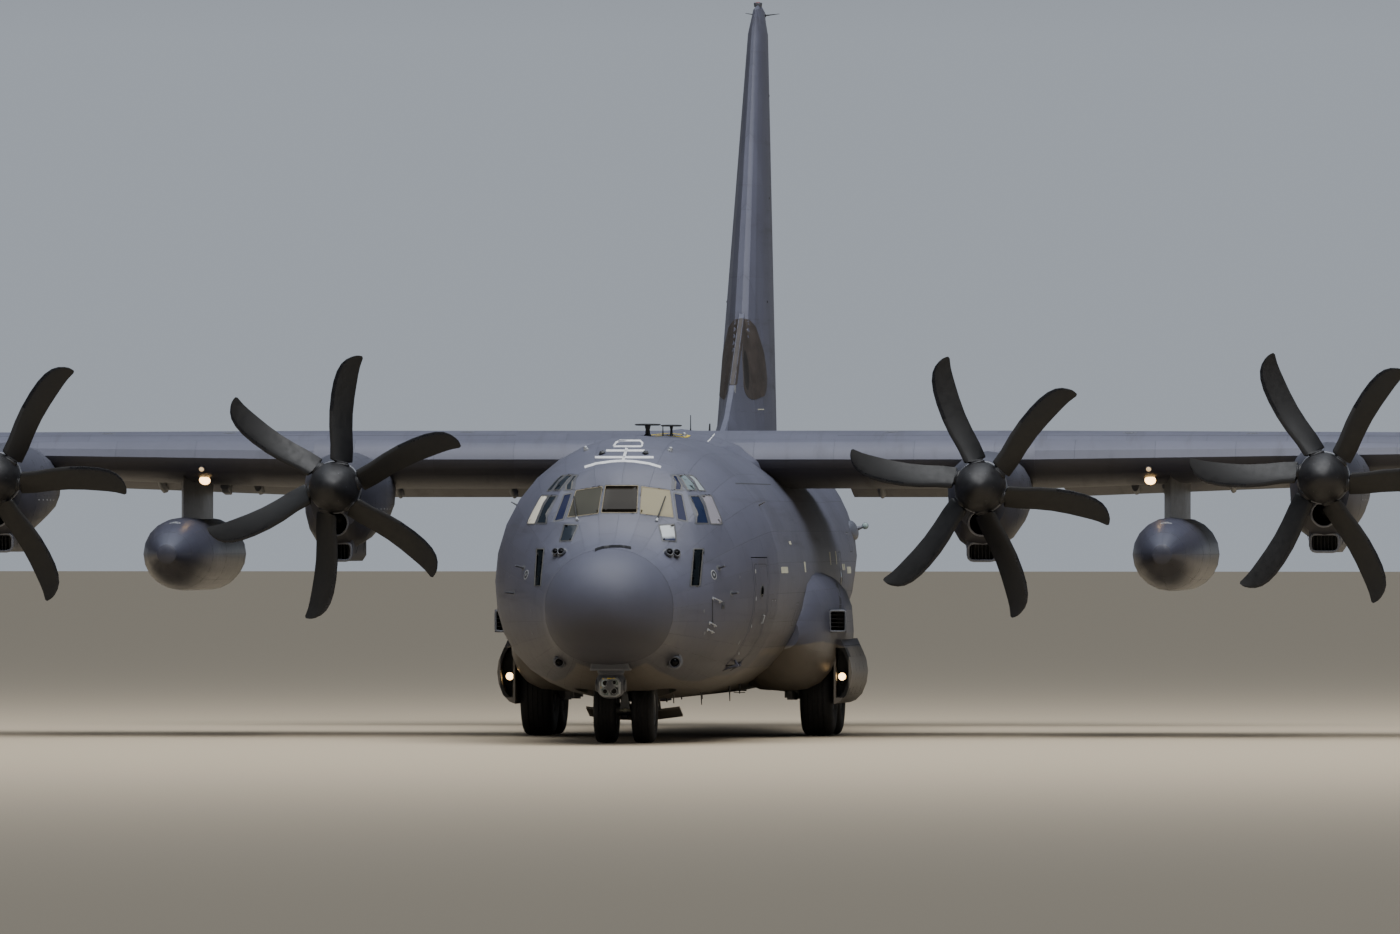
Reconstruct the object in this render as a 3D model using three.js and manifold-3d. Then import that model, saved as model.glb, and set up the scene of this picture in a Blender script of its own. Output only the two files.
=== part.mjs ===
// A four-engine turboprop military transport plane, standing on its wheels with its doors closed.
// It is written in the real aircraft's millimetres, measured back from the nose tip (+Y), out to its left
// (+X) and up from the ground (+Z). The real span is over 40 m, so the group is scaled to a 1:2 model.
import * as THREE from "three";
import { mergeVertices } from "three/addons/utils/BufferGeometryUtils.js";
import Module from "manifold-3d";

const wasm = await Module();
wasm.setup();

// Driving dimensions of the real aircraft
const SCALE = 0.5;
const SPAN = 40410;
const LENGTH = 29790;
const HEIGHT = 11840;
const HALF_WIDTH = 2170;
const HULL_TOP = 4620;
const HULL_BOTTOM = 620;
const SEAM = 0.7; // a closed joint between two fixed pieces: 0.35 mm on the model
const CLEARANCE = 14; // a running gap beside a moving piece: 7 mm on the model
const WALL = 70; // skin, frame and lining together
const FLOOR_Z = 1040;
const RADOME_END = 1140;
const COCKPIT_END = 4085;
const NOSE_END = 5770;
const RAMP_HINGE_Y = 18310;
const RAMP_END = 21400;
const CARGO_DOOR_END = 25400;
const TAIL_CAP_Y = 29300;

// Solids from three.js geometry, and back

function toSolid(geometry) {
  const bare = geometry.index ? geometry.clone() : mergeVertices(geometry);
  bare.deleteAttribute("normal");
  bare.deleteAttribute("uv");
  const merged = mergeVertices(bare, 1e-2);
  const index = merged.index.array;
  const kept = [];
  for (let i = 0; i < index.length; i += 3) {
    const [a, b, c] = [index[i], index[i + 1], index[i + 2]];
    if (a !== b && b !== c && a !== c) kept.push(a, b, c);
  }
  const make = (triangles) =>
    new wasm.Manifold(
      new wasm.Mesh({
        numProp: 3,
        vertProperties: merged.attributes.position.array,
        triVerts: new Uint32Array(triangles),
      }),
    );
  const solid = make(kept);
  return solid.volume() < 0 ? make(kept.reverse()) : solid;
}

function toGeometry(solid) {
  const mesh = solid.getMesh();
  const positions = new Float32Array(mesh.numVert * 3);
  for (let i = 0; i < mesh.numVert; i++) {
    positions.set(mesh.vertProperties.subarray(i * mesh.numProp, i * mesh.numProp + 3), i * 3);
  }
  const geometry = new THREE.BufferGeometry();
  geometry.setAttribute("position", new THREE.BufferAttribute(positions, 3));
  geometry.setIndex(new THREE.BufferAttribute(mesh.triVerts, 1));
  geometry.computeVertexNormals();
  return geometry;
}

// A closed skin over rings of points, each ring [[x, y, z], ...], with its ends closed at a point each.
function loft(rings, startTip, endTip) {
  const count = rings[0].length;
  const middle = (ring) => ring.reduce((sum, p) => sum.map((v, k) => v + p[k] / count), [0, 0, 0]);
  const points = [...rings.flat(), startTip ?? middle(rings[0]), endTip ?? middle(rings.at(-1))];
  const start = rings.length * count;
  const triangles = [];
  for (let i = 0; i < count; i++) {
    const j = (i + 1) % count;
    for (let r = 0; r < rings.length - 1; r++) {
      const [a, b] = [r * count + i, r * count + j];
      triangles.push(a, b, b + count, a, b + count, a + count);
    }
    const last = (rings.length - 1) * count;
    triangles.push(start, j, i, start + 1, last + i, last + j);
  }
  const geometry = new THREE.BufferGeometry();
  geometry.setAttribute("position", new THREE.Float32BufferAttribute(points.flat(), 3));
  geometry.setIndex(triangles);
  return toSolid(geometry);
}

function box([x0, x1], [y0, y1], [z0, z1]) {
  const geometry = new THREE.BoxGeometry(x1 - x0, y1 - y0, z1 - z0);
  return toSolid(geometry.translate((x0 + x1) / 2, (y0 + y1) / 2, (z0 + z1) / 2));
}

// A round bar or cone between two points
function bar(from, to, radiusFrom, radiusTo = radiusFrom, sides = 16) {
  const [a, b] = [new THREE.Vector3(...from), new THREE.Vector3(...to)];
  const along = b.clone().sub(a);
  const geometry = new THREE.CylinderGeometry(radiusTo, radiusFrom, along.length(), sides);
  const turn = new THREE.Quaternion().setFromUnitVectors(new THREE.Vector3(0, 1, 0), along.normalize());
  geometry.applyQuaternion(turn).translate(...a.add(b).multiplyScalar(0.5).toArray());
  return toSolid(geometry);
}

// A turned body about the X axis through a centre, from a profile of [radius, distance along X]. It stands on
// one of its flats, so the flats are at the radius.
function turnedAcross(profile, [x, y, z], sides) {
  const cornerShare = 1 / Math.cos(Math.PI / sides);
  const points = profile.map(([radius, along]) => new THREE.Vector2(radius * cornerShare, along));
  const geometry = new THREE.LatheGeometry(points, sides, Math.PI / sides);
  return toSolid(geometry.rotateZ(-Math.PI / 2).translate(x, y, z));
}

// A turned body about the Y axis through a centre, from a profile of [radius, distance along Y]
function turnedAlong(profile, [x, y, z], sides = 20) {
  const points = profile.map(([radius, along]) => new THREE.Vector2(radius, along));
  return toSolid(new THREE.LatheGeometry(points, sides).translate(x, y, z));
}

// An outline of [y, z] points in the side view, or of [x, z] points in the front view, made into a bar
const FROM_SIDE = new THREE.Matrix4().set(0, 0, 1, 0, 1, 0, 0, 0, 0, 1, 0, 0, 0, 0, 0, 1);
const FROM_FRONT = new THREE.Matrix4().set(1, 0, 0, 0, 0, 0, 1, 0, 0, 1, 0, 0, 0, 0, 0, 1);

function sidePrism(outline, [x0, x1]) {
  const shape = new THREE.Shape(outline.map(([y, z]) => new THREE.Vector2(y, z)));
  const geometry = new THREE.ExtrudeGeometry(shape, { depth: x1 - x0, bevelEnabled: false });
  return toSolid(geometry.applyMatrix4(FROM_SIDE).translate(x0, 0, 0));
}

function frontPrism(outline, [y0, y1]) {
  const shape = new THREE.Shape(outline.map(([x, z]) => new THREE.Vector2(x, z)));
  const geometry = new THREE.ExtrudeGeometry(shape, { depth: y1 - y0, bevelEnabled: false });
  return toSolid(geometry.applyMatrix4(FROM_FRONT).translate(0, y0, 0));
}

const mirrored = (solid) => solid.mirror([1, 0, 0]);
const union = (solids) => solids.reduce((a, b) => a.add(b));

// Hull sections: each row is [y, half width, top, height of the widest point, bottom]
const HULL = [
  [0, 0, 2060, 2060, 2060],
  [60, 290, 2350, 2060, 1780],
  [250, 570, 2610, 2055, 1520],
  [600, 800, 2800, 2050, 1320],
  [1100, 950, 2910, 2050, 1200],
  [1900, 1070, 2970, 2060, 1040],
  [2250, 1200, 3110, 2080, 930],
  [2650, 1360, 3400, 2110, 840],
  [2900, 1465, 3690, 2140, 800],
  [3200, 1590, 3960, 2180, 760],
  [3700, 1765, 4200, 2260, 715],
  [4400, 1960, 4420, 2350, 670],
  [5100, 2090, 4550, 2410, 635],
  [5770, 2150, 4605, 2440, 622],
  [6600, HALF_WIDTH, HULL_TOP, 2450, HULL_BOTTOM],
  [17700, HALF_WIDTH, HULL_TOP, 2450, HULL_BOTTOM],
  [18800, HALF_WIDTH, 4622, 2480, 700],
  [20000, 2160, 4630, 2590, 1040],
  [21400, 2090, 4645, 2780, 1560],
  [23400, 1800, 4680, 3130, 2360],
  [25400, 1300, 4700, 3480, 3020],
  [27400, 760, 4690, 3830, 3480],
  [28700, 440, 4600, 4010, 3740],
  [TAIL_CAP_Y, 270, 4500, 4090, 3850],
];
const SKIN_POINTS = 32;
const LINING_POINTS = 16;
const LOWER_EXPONENT = 2.35; // the belly is squarer than an ellipse

// A smooth curve through one column of a table, which never overshoots its points
function curveThrough(table, column) {
  const x = table.map((row) => row[0]);
  const v = table.map((row) => row[column]);
  const slope = x.slice(1).map((xi, i) => (v[i + 1] - v[i]) / (xi - x[i]));
  const tangent = x.map((_, i) => {
    if (i === 0) return slope[0];
    if (i === x.length - 1) return slope[i - 1];
    return slope[i - 1] * slope[i] <= 0 ? 0 : (2 * slope[i - 1] * slope[i]) / (slope[i - 1] + slope[i]);
  });
  return (at) => {
    let i = 0;
    while (i < x.length - 2 && at > x[i + 1]) i++;
    const h = x[i + 1] - x[i];
    const t = (at - x[i]) / h;
    return (
      v[i] * (1 + 2 * t) * (1 - t) ** 2 +
      tangent[i] * h * t * (1 - t) ** 2 +
      v[i + 1] * t * t * (3 - 2 * t) +
      tangent[i + 1] * h * t * t * (t - 1)
    );
  };
}

const [hullHalfWidth, hullTop, hullMiddle, hullBottom] = [1, 2, 3, 4].map((k) => curveThrough(HULL, k));

// A point on a rounded section: angle 0 is the +X side, a quarter turn is the top
function roundedPoint(angle, halfWidth, above, below, exponent = 2) {
  const [c, s] = [Math.cos(angle), Math.sin(angle)];
  const n = s < 0 ? exponent : 2;
  const power = (value) => Math.sign(value) * Math.abs(value) ** (2 / n);
  return [halfWidth * power(c), (s < 0 ? below : above) * power(s)];
}

function hullRing(y, inset) {
  const middle = hullMiddle(y);
  const count = inset > WALL / 2 ? LINING_POINTS : SKIN_POINTS;
  return Array.from({ length: count }, (_, i) => {
    const [x, z] = roundedPoint(
      (i / count) * 2 * Math.PI,
      Math.max(hullHalfWidth(y) - inset, 1),
      Math.max(hullTop(y) - middle - inset, 1),
      Math.max(middle - hullBottom(y) - inset, 1),
      LOWER_EXPONENT,
    );
    return [x, y, middle + z];
  });
}

// How far out the hull's side lies at a height below its widest point
function hullSide(y, z) {
  const middle = hullMiddle(y);
  const down = ((middle - z) / (middle - hullBottom(y))) ** LOWER_EXPONENT;
  return hullHalfWidth(y) * (1 - down) ** (1 / LOWER_EXPONENT);
}

// The windscreen is three flat faces: the middle one leans back, and the two beside it also turn outwards.
const SCREEN_LEAN = THREE.MathUtils.degToRad(45);
const SCREEN_TURN = THREE.MathUtils.degToRad(28);
const SCREEN_FOOT = [0, 2650, 3360];
const SCREEN_EDGE_X = 270;

function screenCut(turn, edgeX, inset) {
  const size = 3000;
  const block = new THREE.BoxGeometry(size, size, size).translate(0, 0, size / 2 - inset);
  block.rotateX(SCREEN_LEAN).rotateZ(turn);
  return toSolid(block.translate(edgeX, SCREEN_FOOT[1], SCREEN_FOOT[2]));
}

const NOSE_STATIONS = [
  60, 250, 600, 1100, 1500, 1900, 2250, 2500, 2700, 2900, 3200, 3700, 4400, 5100, 5770, 6600,
];
const TAIL_STATIONS = [17700, 18800, 20000, 21400, 23400, 25400, 27400, 28700, TAIL_CAP_Y];

// The whole hull as one solid, set in from the outer skin by a distance, negative for a larger one
function hull(inset) {
  const stations = [...NOSE_STATIONS, ...TAIL_STATIONS];
  const body = loft(
    stations.map((y) => hullRing(y, inset)),
    [0, inset, 2060],
    [0, LENGTH - inset, 4180],
  );
  return body.subtract(screenFaces(inset));
}

function screenFaces(inset) {
  const nearby = box([-1150, 1150], [2560, 3700], [3300, 4300]);
  const common = screenCut(0, 0, inset)
    .add(screenCut(SCREEN_TURN, SCREEN_EDGE_X, inset))
    .add(screenCut(-SCREEN_TURN, -SCREEN_EDGE_X, inset));
  return common.intersect(nearby);
}

const outer = hull(0);
const inner = hull(WALL);
const around = hull(-SEAM); // the hull grown by a seam, to trim what sits against it
const linedIn = hull(WALL + SEAM); // what fits inside the wall
const shell = outer.subtract(inner);
const slice = (solid, y0, y1) =>
  solid.intersect(box([-4000, 4000], [y0 + SEAM / 2, y1 - SEAM / 2], [-500, 8000]));

// Cockpit windows, cut straight back (front outlines, [x, z]) or straight in (side outlines, [y, z]). Apart
// from the middle one they are drawn on the left side, and each is mirrored to the right.
const MIDDLE_WINDOW = [[-272, 3435], [272, 3435], [250, 3852], [-250, 3852]];
const FRONT_WINDOWS = [
  [[308, 3423], [800, 3365], [706, 3779], [285, 3840]],
  [[852, 3340], [1004, 3304], [884, 3712], [760, 3738]],
  [[600, 3262], [680, 3018], [876, 3010], [824, 3269]],
  [[1115, 2345], [1240, 2345], [1252, 2907], [1115, 2907]],
];
const SIDE_WINDOWS = [
  [[3040, 3280], [3290, 3275], [3610, 3697], [3420, 3697]],
  [[3330, 3270], [3620, 3270], [3910, 3703], [3650, 3703]],
  [[3385, 3780], [3445, 3775], [3715, 4005], [3630, 4000]],
  [[3490, 3775], [3680, 3773], [3925, 4010], [3755, 4010]],
  [[3725, 3770], [3900, 3766], [4050, 4000], [3965, 4008]],
];

const WINDOW_REACH = [1950, 3520];

// An outline with every side set in by a distance
function shrunk(outline, by) {
  const corners = outline.map(([u, v]) => new THREE.Vector2(u, v));
  const inwards = Math.sign(THREE.ShapeUtils.area(corners));
  const normals = corners.map((corner, i) => {
    const side = corners[(i + 1) % corners.length].clone().sub(corner).normalize();
    return new THREE.Vector2(-side.y, side.x).multiplyScalar(inwards);
  });
  return corners.map((corner, i) => {
    const [before, after] = [normals.at(i - 1), normals[i]];
    const step = before.clone().add(after).multiplyScalar(by / (1 + before.dot(after)));
    return corner.add(step).toArray();
  });
}

function windowPrisms(gap) {
  const front = FRONT_WINDOWS.map((outline) => frontPrism(shrunk(outline, gap), WINDOW_REACH));
  const side = SIDE_WINDOWS.map((outline) => sidePrism(shrunk(outline, gap), [350, 2300]));
  const middle = frontPrism(shrunk(MIDDLE_WINDOW, gap), WINDOW_REACH);
  return [middle, ...[...front, ...side].flatMap((cut) => [cut, mirrored(cut)])];
}

// Doors in the hull's side: each is [y from, y to, z from, z to], cut straight in from the side
const CREW_DOOR = { y: [4180, 4960], z: [1150, 2780] };
const TROOP_DOOR = { y: [16950, 17560], z: [1120, 2950] };
const sideOpening = ({ y, z }, x, gap) => box(x, [y[0] + gap, y[1] - gap], [z[0] + gap, z[1] - gap]);
const LEFT = [300, 3000];
const RIGHT = [-3000, -300];

// Each part, cleared of the slivers that its cuts leave, which stay well inside a seam
const SLIVER = 0.3;
const parts = [];
function add(name, solid, material) {
  parts.push({ name, solid: solid.simplify(SLIVER), material });
}

// Paints and materials: colour, roughness, metalness
const MATERIALS = {
  paint: [0x5c5e66, 0.55, 0.1],
  propeller: [0x1d1e22, 0.45, 0.1],
  tyre: [0x17171a, 0.9, 0],
  hub: [0xb9bbbd, 0.4, 0.7],
  leg: [0x9a9c9d, 0.35, 0.7],
  glass: [0x3c4a58, 0.08, 0],
  interior: [0x4a4c4a, 0.8, 0],
  seat: [0x2f3a35, 0.9, 0],
  engine: [0x77797b, 0.5, 0.8],
  sensor: [0x8f9398, 0.3, 0.4],
};

// Wing rows: [x, leading edge y, chord, thickness as its share, height of the quarter chord, degrees nose up]
const WING = [
  [0, 11750, 4880, 0.18, 4213, 3],
  [5590, 11750, 4880, 0.18, 4213, 3],
  [19700, 12325, 2560, 0.12, 4468, 1],
];
const WING_JOINT_X = 5590;
const TIP_START_X = 19700;
const AIRFOIL_STATIONS = [0, 0.012, 0.05, 0.13, 0.26, 0.42, 0.6, 0.78, 0.92, 1];
const TRAILING_EDGE = 0.0035; // half thickness of the blunt trailing edge, as a share of the chord
const CAMBER = 0.018;

// Half thickness and camber of the wing section, as shares of the chord
function sectionAt(t, thickness) {
  const shape = 0.2969 * Math.sqrt(t) - 0.126 * t - 0.3516 * t ** 2 + 0.2843 * t ** 3 - 0.1036 * t ** 4;
  const camber = CAMBER * (t < 0.4 ? (0.8 * t - t * t) / 0.16 : (0.2 + 0.8 * t - t * t) / 0.36);
  return [5 * thickness * shape + TRAILING_EDGE * t, camber];
}

// A point of a wing section at a share t of its chord, above (side 1) or below (side -1)
function wingPoint([x, leading, chord, thickness, quarterZ, degrees], t, side, cambered = 1) {
  const [half, camber] = sectionAt(t, thickness);
  const turn = THREE.MathUtils.degToRad(degrees);
  const [along, up] = [(t - 0.25) * chord, (camber * cambered + side * half) * chord];
  return [
    x,
    leading + 0.25 * chord + along * Math.cos(turn) + up * Math.sin(turn),
    quarterZ - along * Math.sin(turn) + up * Math.cos(turn),
  ];
}

function wingRing(row, cambered = 1) {
  const upper = AIRFOIL_STATIONS.map((t) => wingPoint(row, t, 1, cambered));
  const lower = AIRFOIL_STATIONS.slice(1).reverse().map((t) => wingPoint(row, t, -1, cambered));
  return [...upper, ...lower];
}

// A row of a table at a station between its rows
function rowAt(table, at) {
  let i = 0;
  while (i < table.length - 2 && at > table[i + 1][0]) i++;
  const t = (at - table[i][0]) / (table[i + 1][0] - table[i][0]);
  return table[i].map((v, k) => v + (table[i + 1][k] - v) * t);
}

// The wing tip closes over a short rounded cap
const tipRow = rowAt(WING, TIP_START_X);
const [, tipLeading, tipChord, tipThickness, tipZ, tipTurn] = tipRow;
const TIP_CAP = [
  [20050, tipLeading + 180, tipChord - 420, tipThickness * 0.75, tipZ + 14, tipTurn],
  [SPAN / 2 - 20, tipLeading + 480, tipChord - 1000, tipThickness * 0.4, tipZ + 20, tipTurn],
];
const tipPoint = [SPAN / 2, tipLeading + 1150, tipZ + 30];
const outerWing = loft([WING[1], tipRow, ...TIP_CAP].map((row) => wingRing(row)), undefined, tipPoint);
const centreWing = loft([[-WING_JOINT_X, ...WING[1].slice(1)], WING[1]].map((row) => wingRing(row)));

// A point on the skin of a lofted wing, tail or fin at a share of the chord, above (1) or below (-1)
function skinPoint(table, share, side, at, cambered = 1) {
  let i = 0;
  while (i < table.length - 2 && at > table[i + 1][0]) i++;
  const at3 = (row) => new THREE.Vector3(...wingPoint(row, share, side, cambered));
  const [p, q] = [at3(table[i]), at3(table[i + 1])];
  return p.lerp(q, (at - table[i][0]) / (table[i + 1][0] - table[i][0]));
}

// Axes set square to a line: along it, aft and up
function axesAlong(from, to) {
  const along = to.clone().sub(from).normalize();
  const aft = new THREE.Vector3(0, 0, 1).cross(along).normalize();
  return { start: from, length: from.distanceTo(to), along, aft, up: along.clone().cross(aft) };
}

// A block set square to a line, by how far it goes beyond both ends, aft of the line and above it
function blockOn({ start, length, along, aft, up }, beyond, [v0, v1], [w0, w1]) {
  const geometry = new THREE.BoxGeometry(length + 2 * beyond, v1 - v0, w1 - w0);
  geometry.translate(length / 2, (v0 + v1) / 2, (w0 + w1) / 2);
  return toSolid(geometry.applyMatrix4(new THREE.Matrix4().makeBasis(along, aft, up).setPosition(start)));
}

const onLine = ({ start, along, aft, up }, u, v = 0, w = 0) =>
  start.clone().addScaledVector(along, u).addScaledVector(aft, v).addScaledVector(up, w).toArray();

// Pins stand out of both ends of a hinged surface, to a seam from the walls beside it.
const PIN_RADIUS = 14;
function endPins(line, v = 0, w = 0) {
  const reach = CLEARANCE - SEAM;
  const far = line.length;
  return [
    bar(onLine(line, -reach, v, w), onLine(line, 30, v, w), PIN_RADIUS, PIN_RADIUS, 8),
    bar(onLine(line, far - 30, v, w), onLine(line, far + reach, v, w), PIN_RADIUS, PIN_RADIUS, 8),
  ];
}

// A hinged surface cut from the back of a wing, tail or fin. The hinge runs through the section's middle.
// The surface's nose is a cone about it, so that it turns without touching, and the fixed skin ends short of
// the hinge by the cut back, where the turned surface's flank comes forward.
function splitHinged(whole, table, { from, to, share, cutBack }, cambered = 1) {
  const [a, b] = [from, to].map((at) => {
    const [top, bottom] = [1, -1].map((side) => skinPoint(table, share, side, at, cambered));
    return { middle: top.clone().lerp(bottom, 0.5), radius: top.distanceTo(bottom) / 2 };
  });
  const line = axesAlong(a.middle, b.middle);
  const cone = (beyond, grow) =>
    bar(onLine(line, -beyond), onLine(line, line.length + beyond), a.radius + grow, b.radius + grow, 16);
  const nose = cone(0, -4).intersect(whole);
  const behind = whole.intersect(blockOn(line, 0, [0, 4000], [-1500, 1500]));
  const surface = union([behind, nose, ...endPins(line)]);
  const fixed = whole
    .subtract(blockOn(line, CLEARANCE, [-cutBack, 4000], [-1500, 1500]))
    .subtract(cone(CLEARANCE, CLEARANCE));
  return { surface, fixed };
}

// Knuckles on a hinge line, a fixed one and a moving one end to end, each let into the other piece with room.
// The two roots are where the knuckles' arms end, inside each piece, measured from the line.
function withKnuckles({ fixed, moving }, from, to, radius, fixedRoot, movingRoot) {
  const [p, q] = [new THREE.Vector3(...from), new THREE.Vector3(...to)];
  const along = q.clone().sub(p).normalize();
  const middle = p.clone().lerp(q, 0.5);
  const at = (point, by, offset = [0, 0, 0]) =>
    point.clone().addScaledVector(along, by).add(new THREE.Vector3(...offset)).toArray();
  const arm = (centre, root) => bar(at(centre, 0), at(centre, 0, root), radius * 0.8, radius * 0.8, 6);
  const knuckle = (start, end, root) => {
    const centre = new THREE.Vector3(...start).lerp(new THREE.Vector3(...end), 0.5);
    return bar(start, end, radius, radius, 8).add(arm(centre, root));
  };
  const room = (start, end) => bar(start, end, radius + CLEARANCE, radius + CLEARANCE, 8);
  return {
    fixed: fixed
      .subtract(room(at(middle, -CLEARANCE), at(q, CLEARANCE)))
      .add(knuckle(at(p, 0), at(middle, -SEAM / 2), fixedRoot)),
    moving: moving
      .subtract(room(at(p, -CLEARANCE), at(middle, CLEARANCE)))
      .add(knuckle(at(middle, SEAM / 2), at(q, 0), movingRoot)),
  };
}

// Ailerons and elevators: each surface runs from x to x, hinged at a share of the chord
const AILERON = { from: 12200, to: 19200, share: 0.76, cutBack: 62 };
const { surface: aileron, fixed: wingWithAileron } = splitHinged(outerWing, WING, AILERON);

// Flaps hang on a pivot below the wing, and stand part lowered as in the photograph. Each runs from x to x.
const FLAP_SHARE = 0.77;
const FLAP_REST = THREE.MathUtils.degToRad(15);
const FLAP_PIVOT_DROP = 730; // from the upper skin at the flap's front down to its pivot line
const FLAPS = { inner: [2420, 5480], outer: [5730, 12060] };

// The flap's pivot line, below the upper skin at its front edge
function flapPivot([x0, x1]) {
  const line = axesAlong(...[x0, x1].map((x) => skinPoint(WING, FLAP_SHARE, 1, x)));
  return { ...line, start: line.start.clone().addScaledVector(line.up, -FLAP_PIVOT_DROP) };
}
const flapSpace = (span, gap) => blockOn(flapPivot(span), gap, [-gap, 3000], [0, 3000]);

function flapFrom(wing, span) {
  const line = flapPivot(span);
  const flap = union([wing.intersect(flapSpace(span, 0)), ...endPins(line, 70, FLAP_PIVOT_DROP - 110)]);
  const turn = new THREE.Matrix4()
    .makeTranslation(line.start)
    .multiply(new THREE.Matrix4().makeRotationAxis(line.along, -FLAP_REST))
    .multiply(new THREE.Matrix4().makeTranslation(line.start.clone().negate()));
  return flap.transform(turn.elements);
}

const innerFlap = flapFrom(centreWing, FLAPS.inner);
const outerFlap = flapFrom(outerWing, FLAPS.outer);
const wingAside = wingWithAileron
  .subtract(flapSpace(FLAPS.outer, CLEARANCE))
  .intersect(box([WING_JOINT_X + SEAM, SPAN], [0, LENGTH], [0, 9000]));

// The roof fairing carries the wing's shape forward and back along the top of the fuselage.
// Each row is [y, half width, top, foot].
const ROOF_FAIRING = [
  [9700, 500, 4590, 4150],
  [10600, 1000, 4650, 4050],
  [11700, 1420, 4710, 3950],
  [13200, 1500, 4755, 3900],
  [15200, 1480, 4725, 3900],
  [17000, 1150, 4670, 3950],
  [18700, 500, 4615, 4150],
];
const roofFairing = loft(
  ROOF_FAIRING.map(([y, halfWidth, top, foot]) =>
    Array.from({ length: 16 }, (_, i) => {
      const [x, z] = roundedPoint((i / 16) * 2 * Math.PI, halfWidth, top - foot, 200, 2);
      return [x, y, foot + z];
    }),
  ),
);
const wingBox = centreWing
  .subtract(flapSpace(FLAPS.inner, CLEARANCE))
  .subtract(mirrored(flapSpace(FLAPS.inner, CLEARANCE)));
const wingCentre = wingBox.add(roofFairing.subtract(around));
// A ring of a wing section, grown outwards by a distance
function grownRing(ring, by) {
  return ring.map(([x, y, z], i) => {
    const [, y0, z0] = ring.at(i - 1);
    const [, y1, z1] = ring[(i + 1) % ring.length];
    const size = Math.hypot(y1 - y0, z1 - z0);
    return [x, y - ((z1 - z0) / size) * by, z + ((y1 - y0) / size) * by];
  });
}
const WING_SEAT_GAP = 1.6;
const grownWing = (rows) => loft(rows.map((row) => grownRing(wingRing(row), WING_SEAT_GAP)));
const wingRoom = grownWing([[-WING_JOINT_X, ...WING[1].slice(1)], WING[1], WING[2]]);
const wingSlot = wingRoom.intersect(box([-3000, 3000], [0, LENGTH], [0, 9000]));

add("wing_centre", wingCentre, "paint");
add("wing_left", wingAside, "paint");
add("wing_right", mirrored(wingAside), "paint");
add("flap_inner_left", innerFlap, "paint");
add("flap_inner_right", mirrored(innerFlap), "paint");
add("flap_outer_left", outerFlap, "paint");
add("flap_outer_right", mirrored(outerFlap), "paint");
add("aileron_left", aileron, "paint");
add("aileron_right", mirrored(aileron), "paint");

// Fuselage shells, doors and floors
const windowCuts = union(windowPrisms(0));
const NOSE_WELL = { y: 3820, radius: 760 };
const noseWell = bar([0, NOSE_WELL.y, 300], [0, NOSE_WELL.y, 1000], NOSE_WELL.radius, NOSE_WELL.radius, 24);
const noseShell = slice(outer, RADOME_END, COCKPIT_END)
  .subtract(inner.intersect(box([-4000, 4000], [RADOME_END + WALL, LENGTH], [0, 8000])))
  .subtract(windowCuts)
  .subtract(noseWell);
const forwardShell = slice(shell, COCKPIT_END, NOSE_END)
  .subtract(noseWell)
  .subtract(sideOpening(CREW_DOOR, LEFT, 0));
const crewDoorLeaf = shell.intersect(sideOpening(CREW_DOOR, LEFT, CLEARANCE));

// The crew door hinges on a line just outside the skin at the door's rear lower corner, so that it swings out
// down without touching its sill. The hull is narrower further forward, where the knuckles' arms are longer.
const crewHingeZ = CREW_DOOR.z[0] + 7;
const CREW_DOOR_AXIS = { x: hullSide(CREW_DOOR.y[1], crewHingeZ) + 6, z: crewHingeZ };
const armTo = (y, rise) => [hullSide(y, CREW_DOOR_AXIS.z + rise) - WALL / 2 - CREW_DOOR_AXIS.x, 0, rise];
let entrance = { fixed: forwardShell, moving: crewDoorLeaf };
for (const y of [4300, 4740]) {
  const ends = [y, y + 160].map((at) => [CREW_DOOR_AXIS.x, at, CREW_DOOR_AXIS.z]);
  entrance = withKnuckles(entrance, ...ends, 26, armTo(y + 40, -70), armTo(y + 120, 90));
}
const crewDoor = entrance.moving;
const centreWithDoors = slice(shell, NOSE_END, RAMP_HINGE_Y)
  .subtract(wingSlot)
  .subtract(sideOpening(TROOP_DOOR, LEFT, 0))
  .subtract(sideOpening(TROOP_DOOR, RIGHT, 0));
const troopDoor = shell.intersect(sideOpening(TROOP_DOOR, LEFT, SEAM));

const BULKHEAD_Y = [NOSE_END - 80, NOSE_END - 20];

// The ramp and the cargo door fill one long opening under the tail. Its sides draw in towards the tail.
const RAMP_HALF_WIDTH = 1530;
const DOOR_AFT_HALF_WIDTH = 900;
function tailOpening(from, to, gap) {
  const width = (y) => {
    const aft = Math.max(0, (y - RAMP_END) / (CARGO_DOOR_END - RAMP_END));
    return RAMP_HALF_WIDTH + (DOOR_AFT_HALF_WIDTH - RAMP_HALF_WIDTH) * aft;
  };
  const [y0, y1] = [from + gap, to - gap];
  const ys = [y0, ...[RAMP_END].filter((y) => y > y0 && y < y1), y1];
  const points = [...ys.map((y) => [width(y) - gap, y]), ...ys.toReversed().map((y) => [gap - width(y), y])];
  const shape = new THREE.Shape(points.map(([x, y]) => new THREE.Vector2(x, y)));
  return toSolid(new THREE.ExtrudeGeometry(shape, { depth: 3850, bevelEnabled: false }));
}
const belowLine = (y0, z0, y1, z1) => sidePrism([[y0, z0], [y1, z1], [y1, 100], [y0, 100]], [-3000, 3000]);
const openTail = slice(shell, RAMP_HINGE_Y, LENGTH).subtract(
  tailOpening(RAMP_HINGE_Y - 100, CARGO_DOOR_END, 0).intersect(belowLine(18000, 2300, 26000, 3700)),
);
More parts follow.
